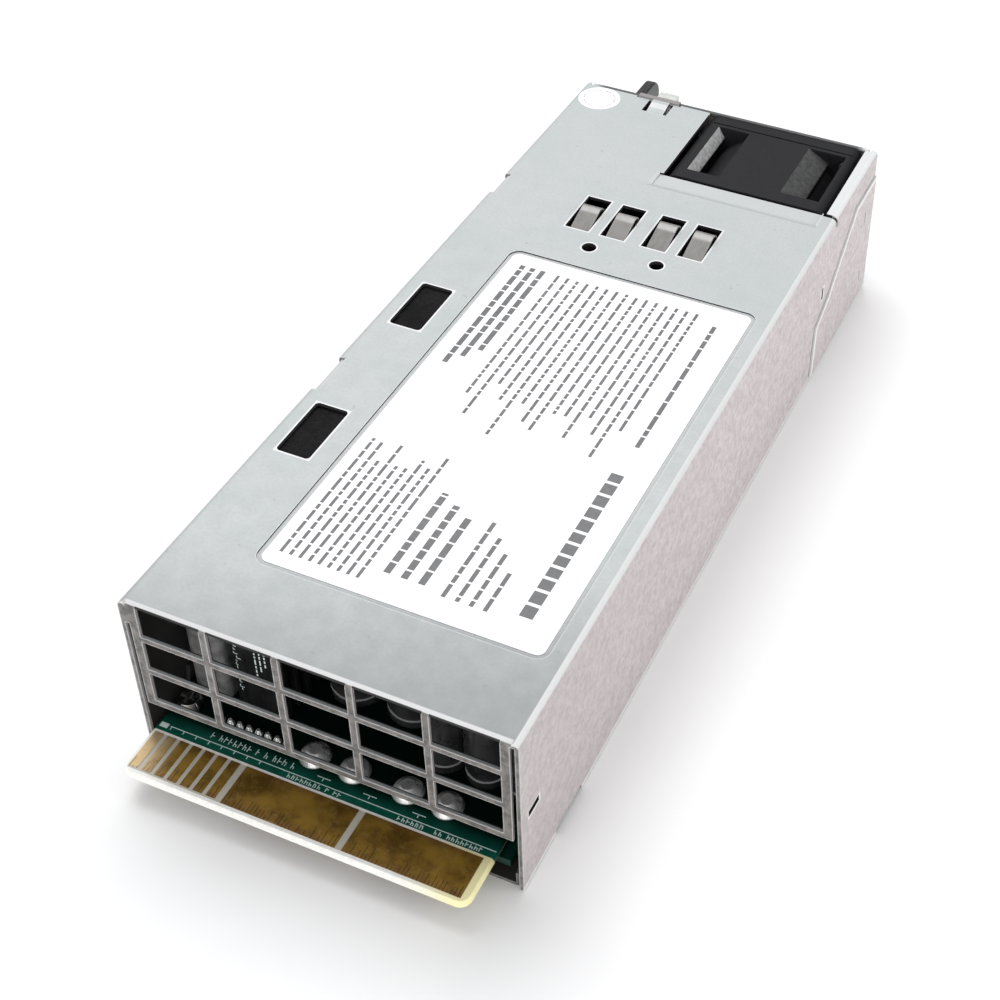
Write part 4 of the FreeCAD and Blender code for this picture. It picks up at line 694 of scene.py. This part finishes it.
def sticker_ring(shape):
    """Pairs of dashes in a ring on the round seal."""
    low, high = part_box("seal_sticker")
    middle = (low + high) / 2
    places, group = 30, 3
    radius, dash = 3.7 * MM, Vector((0.35, 0.6, 0.02)) * MM
    for place in range(places):
        if place % group == group - 1:
            continue
        spin = Matrix.Rotation(2 * math.pi * place / places, 4, "Z")
        made = bmesh.ops.create_cube(shape, size=1.0)
        bmesh.ops.scale(shape, vec=dash, verts=made["verts"])
        bmesh.ops.translate(shape, vec=(radius, 0, 0), verts=made["verts"])
        bmesh.ops.transform(shape, matrix=spin, verts=made["verts"])
        bmesh.ops.translate(shape, vec=(middle.x, middle.y, high.z), verts=made["verts"])


def board_silk(shape):
    """White print on the card-edge board: a rule with ticks, lines of strokes, and pin marks."""
    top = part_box("edge_board")[1].z / MM
    rule, tick_end, pin_end = -91.3, -91.9, -90.0 + STROKE

    def mark(x0, y0, x1, y1):
        plate(shape, (x0, y0, top - SILK_SUNK), (x1, y1, top + SILK_PROUD))

    def strokes(start, end, base, tall, pitch):
        """A line of blank characters, each two or three short strokes."""
        x = start
        while x < end:
            wide = rng.uniform(0.55, 0.75) * pitch
            mark(x, base, x + STROKE, base + tall)
            split = base + tall * rng.uniform(0.3, 0.7)
            mark(x + 0.10, split, x + wide, split + STROKE)
            if rng.random() < 0.6:
                mark(x + wide - STROKE, base, x + wide, split + 0.1)
            x += pitch * (1.0 if rng.random() < 0.85 else 1.8)

    mark(-32.6, rule, 31.2, rule + STROKE)
    mark(-34.6, tick_end, -33.0, -90.9)
    for tick in range(8):
        x = -32.4 + 2.6 * tick
        mark(x, tick_end, x + STROKE, rule)
    strokes(-25.0, -8.6, base=-90.5, tall=1.25, pitch=0.95)
    for start, end in ((-8.4, 2.2), (13.0, 18.0), (20.0, 29.6)):
        strokes(start, end, base=-92.35, tall=0.85, pitch=0.85)
    for x in (-2.4, 6.6, 16.0):
        mark(x - 1.3, -90.0, x + 1.3, pin_end)
        mark(x - STROKE / 2, -90.6, x + STROKE / 2, pin_end)


def sink_print(shape):
    """Blank print on the heat sink's near face: strokes on its base, lines on its first fin."""
    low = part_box("secondary_heatsink")[0] / MM

    def mark(x0, z0, x1, z1):
        plate(shape, (x0, low.y - SINK_SUNK, z0), (x1, low.y + SINK_PROUD, z1))

    z = 10.5
    while z < 28.5:
        x = low.x + rng.uniform(0.2, 0.9)
        tall = rng.uniform(0.35, 0.9)
        mark(x, z, x + rng.uniform(0.15, 0.9), z + STROKE)
        mark(x, z, x + STROKE, z + tall)
        z += tall + rng.uniform(0.2, 0.7)
    for column in range(3):
        x, z = -19.6 + 1.0 * column, 16.0 + 1.5 * column
        while z < 28.0:
            run = rng.uniform(0.4, 1.3)
            mark(x, z, x + 0.3, z + run)
            z += run + 0.35


piece("label_greeked_text", label_text, ink.material)
piece("seal_dashes", sticker_ring, faint_ink.material)
piece("board_silkscreen", board_silk, silk.material)
piece("sink_print", sink_print, silk.material)

# ---- room, lights and camera ---------------------------------------------------------------------

FLOOR_HALF = 6.0
floor_surface = Surface("floor_paper", Roughness=0.7)
floor_grain = floor_surface.noise(60.0, detail=2.0)
floor_surface.colour(floor_surface.mix(floor_grain, (0.92, 0.92, 0.925), (0.94, 0.94, 0.94)))
floor_mesh = bpy.data.meshes.new("floor")
corners = [(x * FLOOR_HALF, y * FLOOR_HALF, 0) for x, y in ((-1, -1), (1, -1), (1, 1), (-1, 1))]
floor_mesh.from_pydata(corners, [], [(0, 1, 2, 3)])
floor_mesh.materials.append(floor_surface.material)
floor = bpy.data.objects.new("floor", floor_mesh)
bpy.context.scene.collection.objects.link(floor)

world = bpy.data.worlds.new("studio")
world.use_nodes = True
sky = world.node_tree.nodes["Background"]
sky.inputs["Color"].default_value = (0.97, 0.98, 1.0, 1)
sky.inputs["Strength"].default_value = 0.51
bpy.context.scene.world = world
bpy.context.scene.view_settings.view_transform = "Standard"


def area_light(name, place, target, size, power):
    """A rectangular light that points at a target."""
    light = bpy.data.lights.new(name, "AREA")
    light.shape = "RECTANGLE"
    light.size, light.size_y = size
    light.energy = power
    item = bpy.data.objects.new(name, light)
    item.location = place
    item.rotation_euler = (Vector(target) - Vector(place)).to_track_quat("-Z", "Y").to_euler()
    bpy.context.scene.collection.objects.link(item)


area_light("key_soft", place=(-0.30, 0.38, 0.93), target=(0, 0, 0), size=(0.75, 0.75), power=7.5)
area_light("side_fill", place=(0.95, 0.12, 0.40), target=(0.03, 0, 0.02), size=(0.6, 0.6),
           power=2.9)
area_light("front_fill", place=(0.05, -0.95, 0.30), target=(0, -0.09, 0.02), size=(0.8, 0.5),
           power=3.8)

# the camera's axes and place, fitted to the case's corners in the photograph
BACK = Vector((0.283863, -0.725961, 0.62642))
RIGHT = Vector((0.922265, 0.385481, 0.028826))
UP = BACK.cross(RIGHT)
EYE = (0.1155, -0.23999, 0.251011)
lens = bpy.data.cameras.new("camera")
lens.sensor_width = 36.0
lens.lens = 62.293
lens.shift_x, lens.shift_y = -0.16306, -0.15644
lens.clip_start, lens.clip_end = 0.02, 20.0
camera = bpy.data.objects.new("camera", lens)
camera.matrix_world = Matrix.Translation(EYE) @ Matrix((RIGHT, UP, BACK)).transposed().to_4x4()
bpy.context.scene.collection.objects.link(camera)
bpy.context.scene.camera = camera
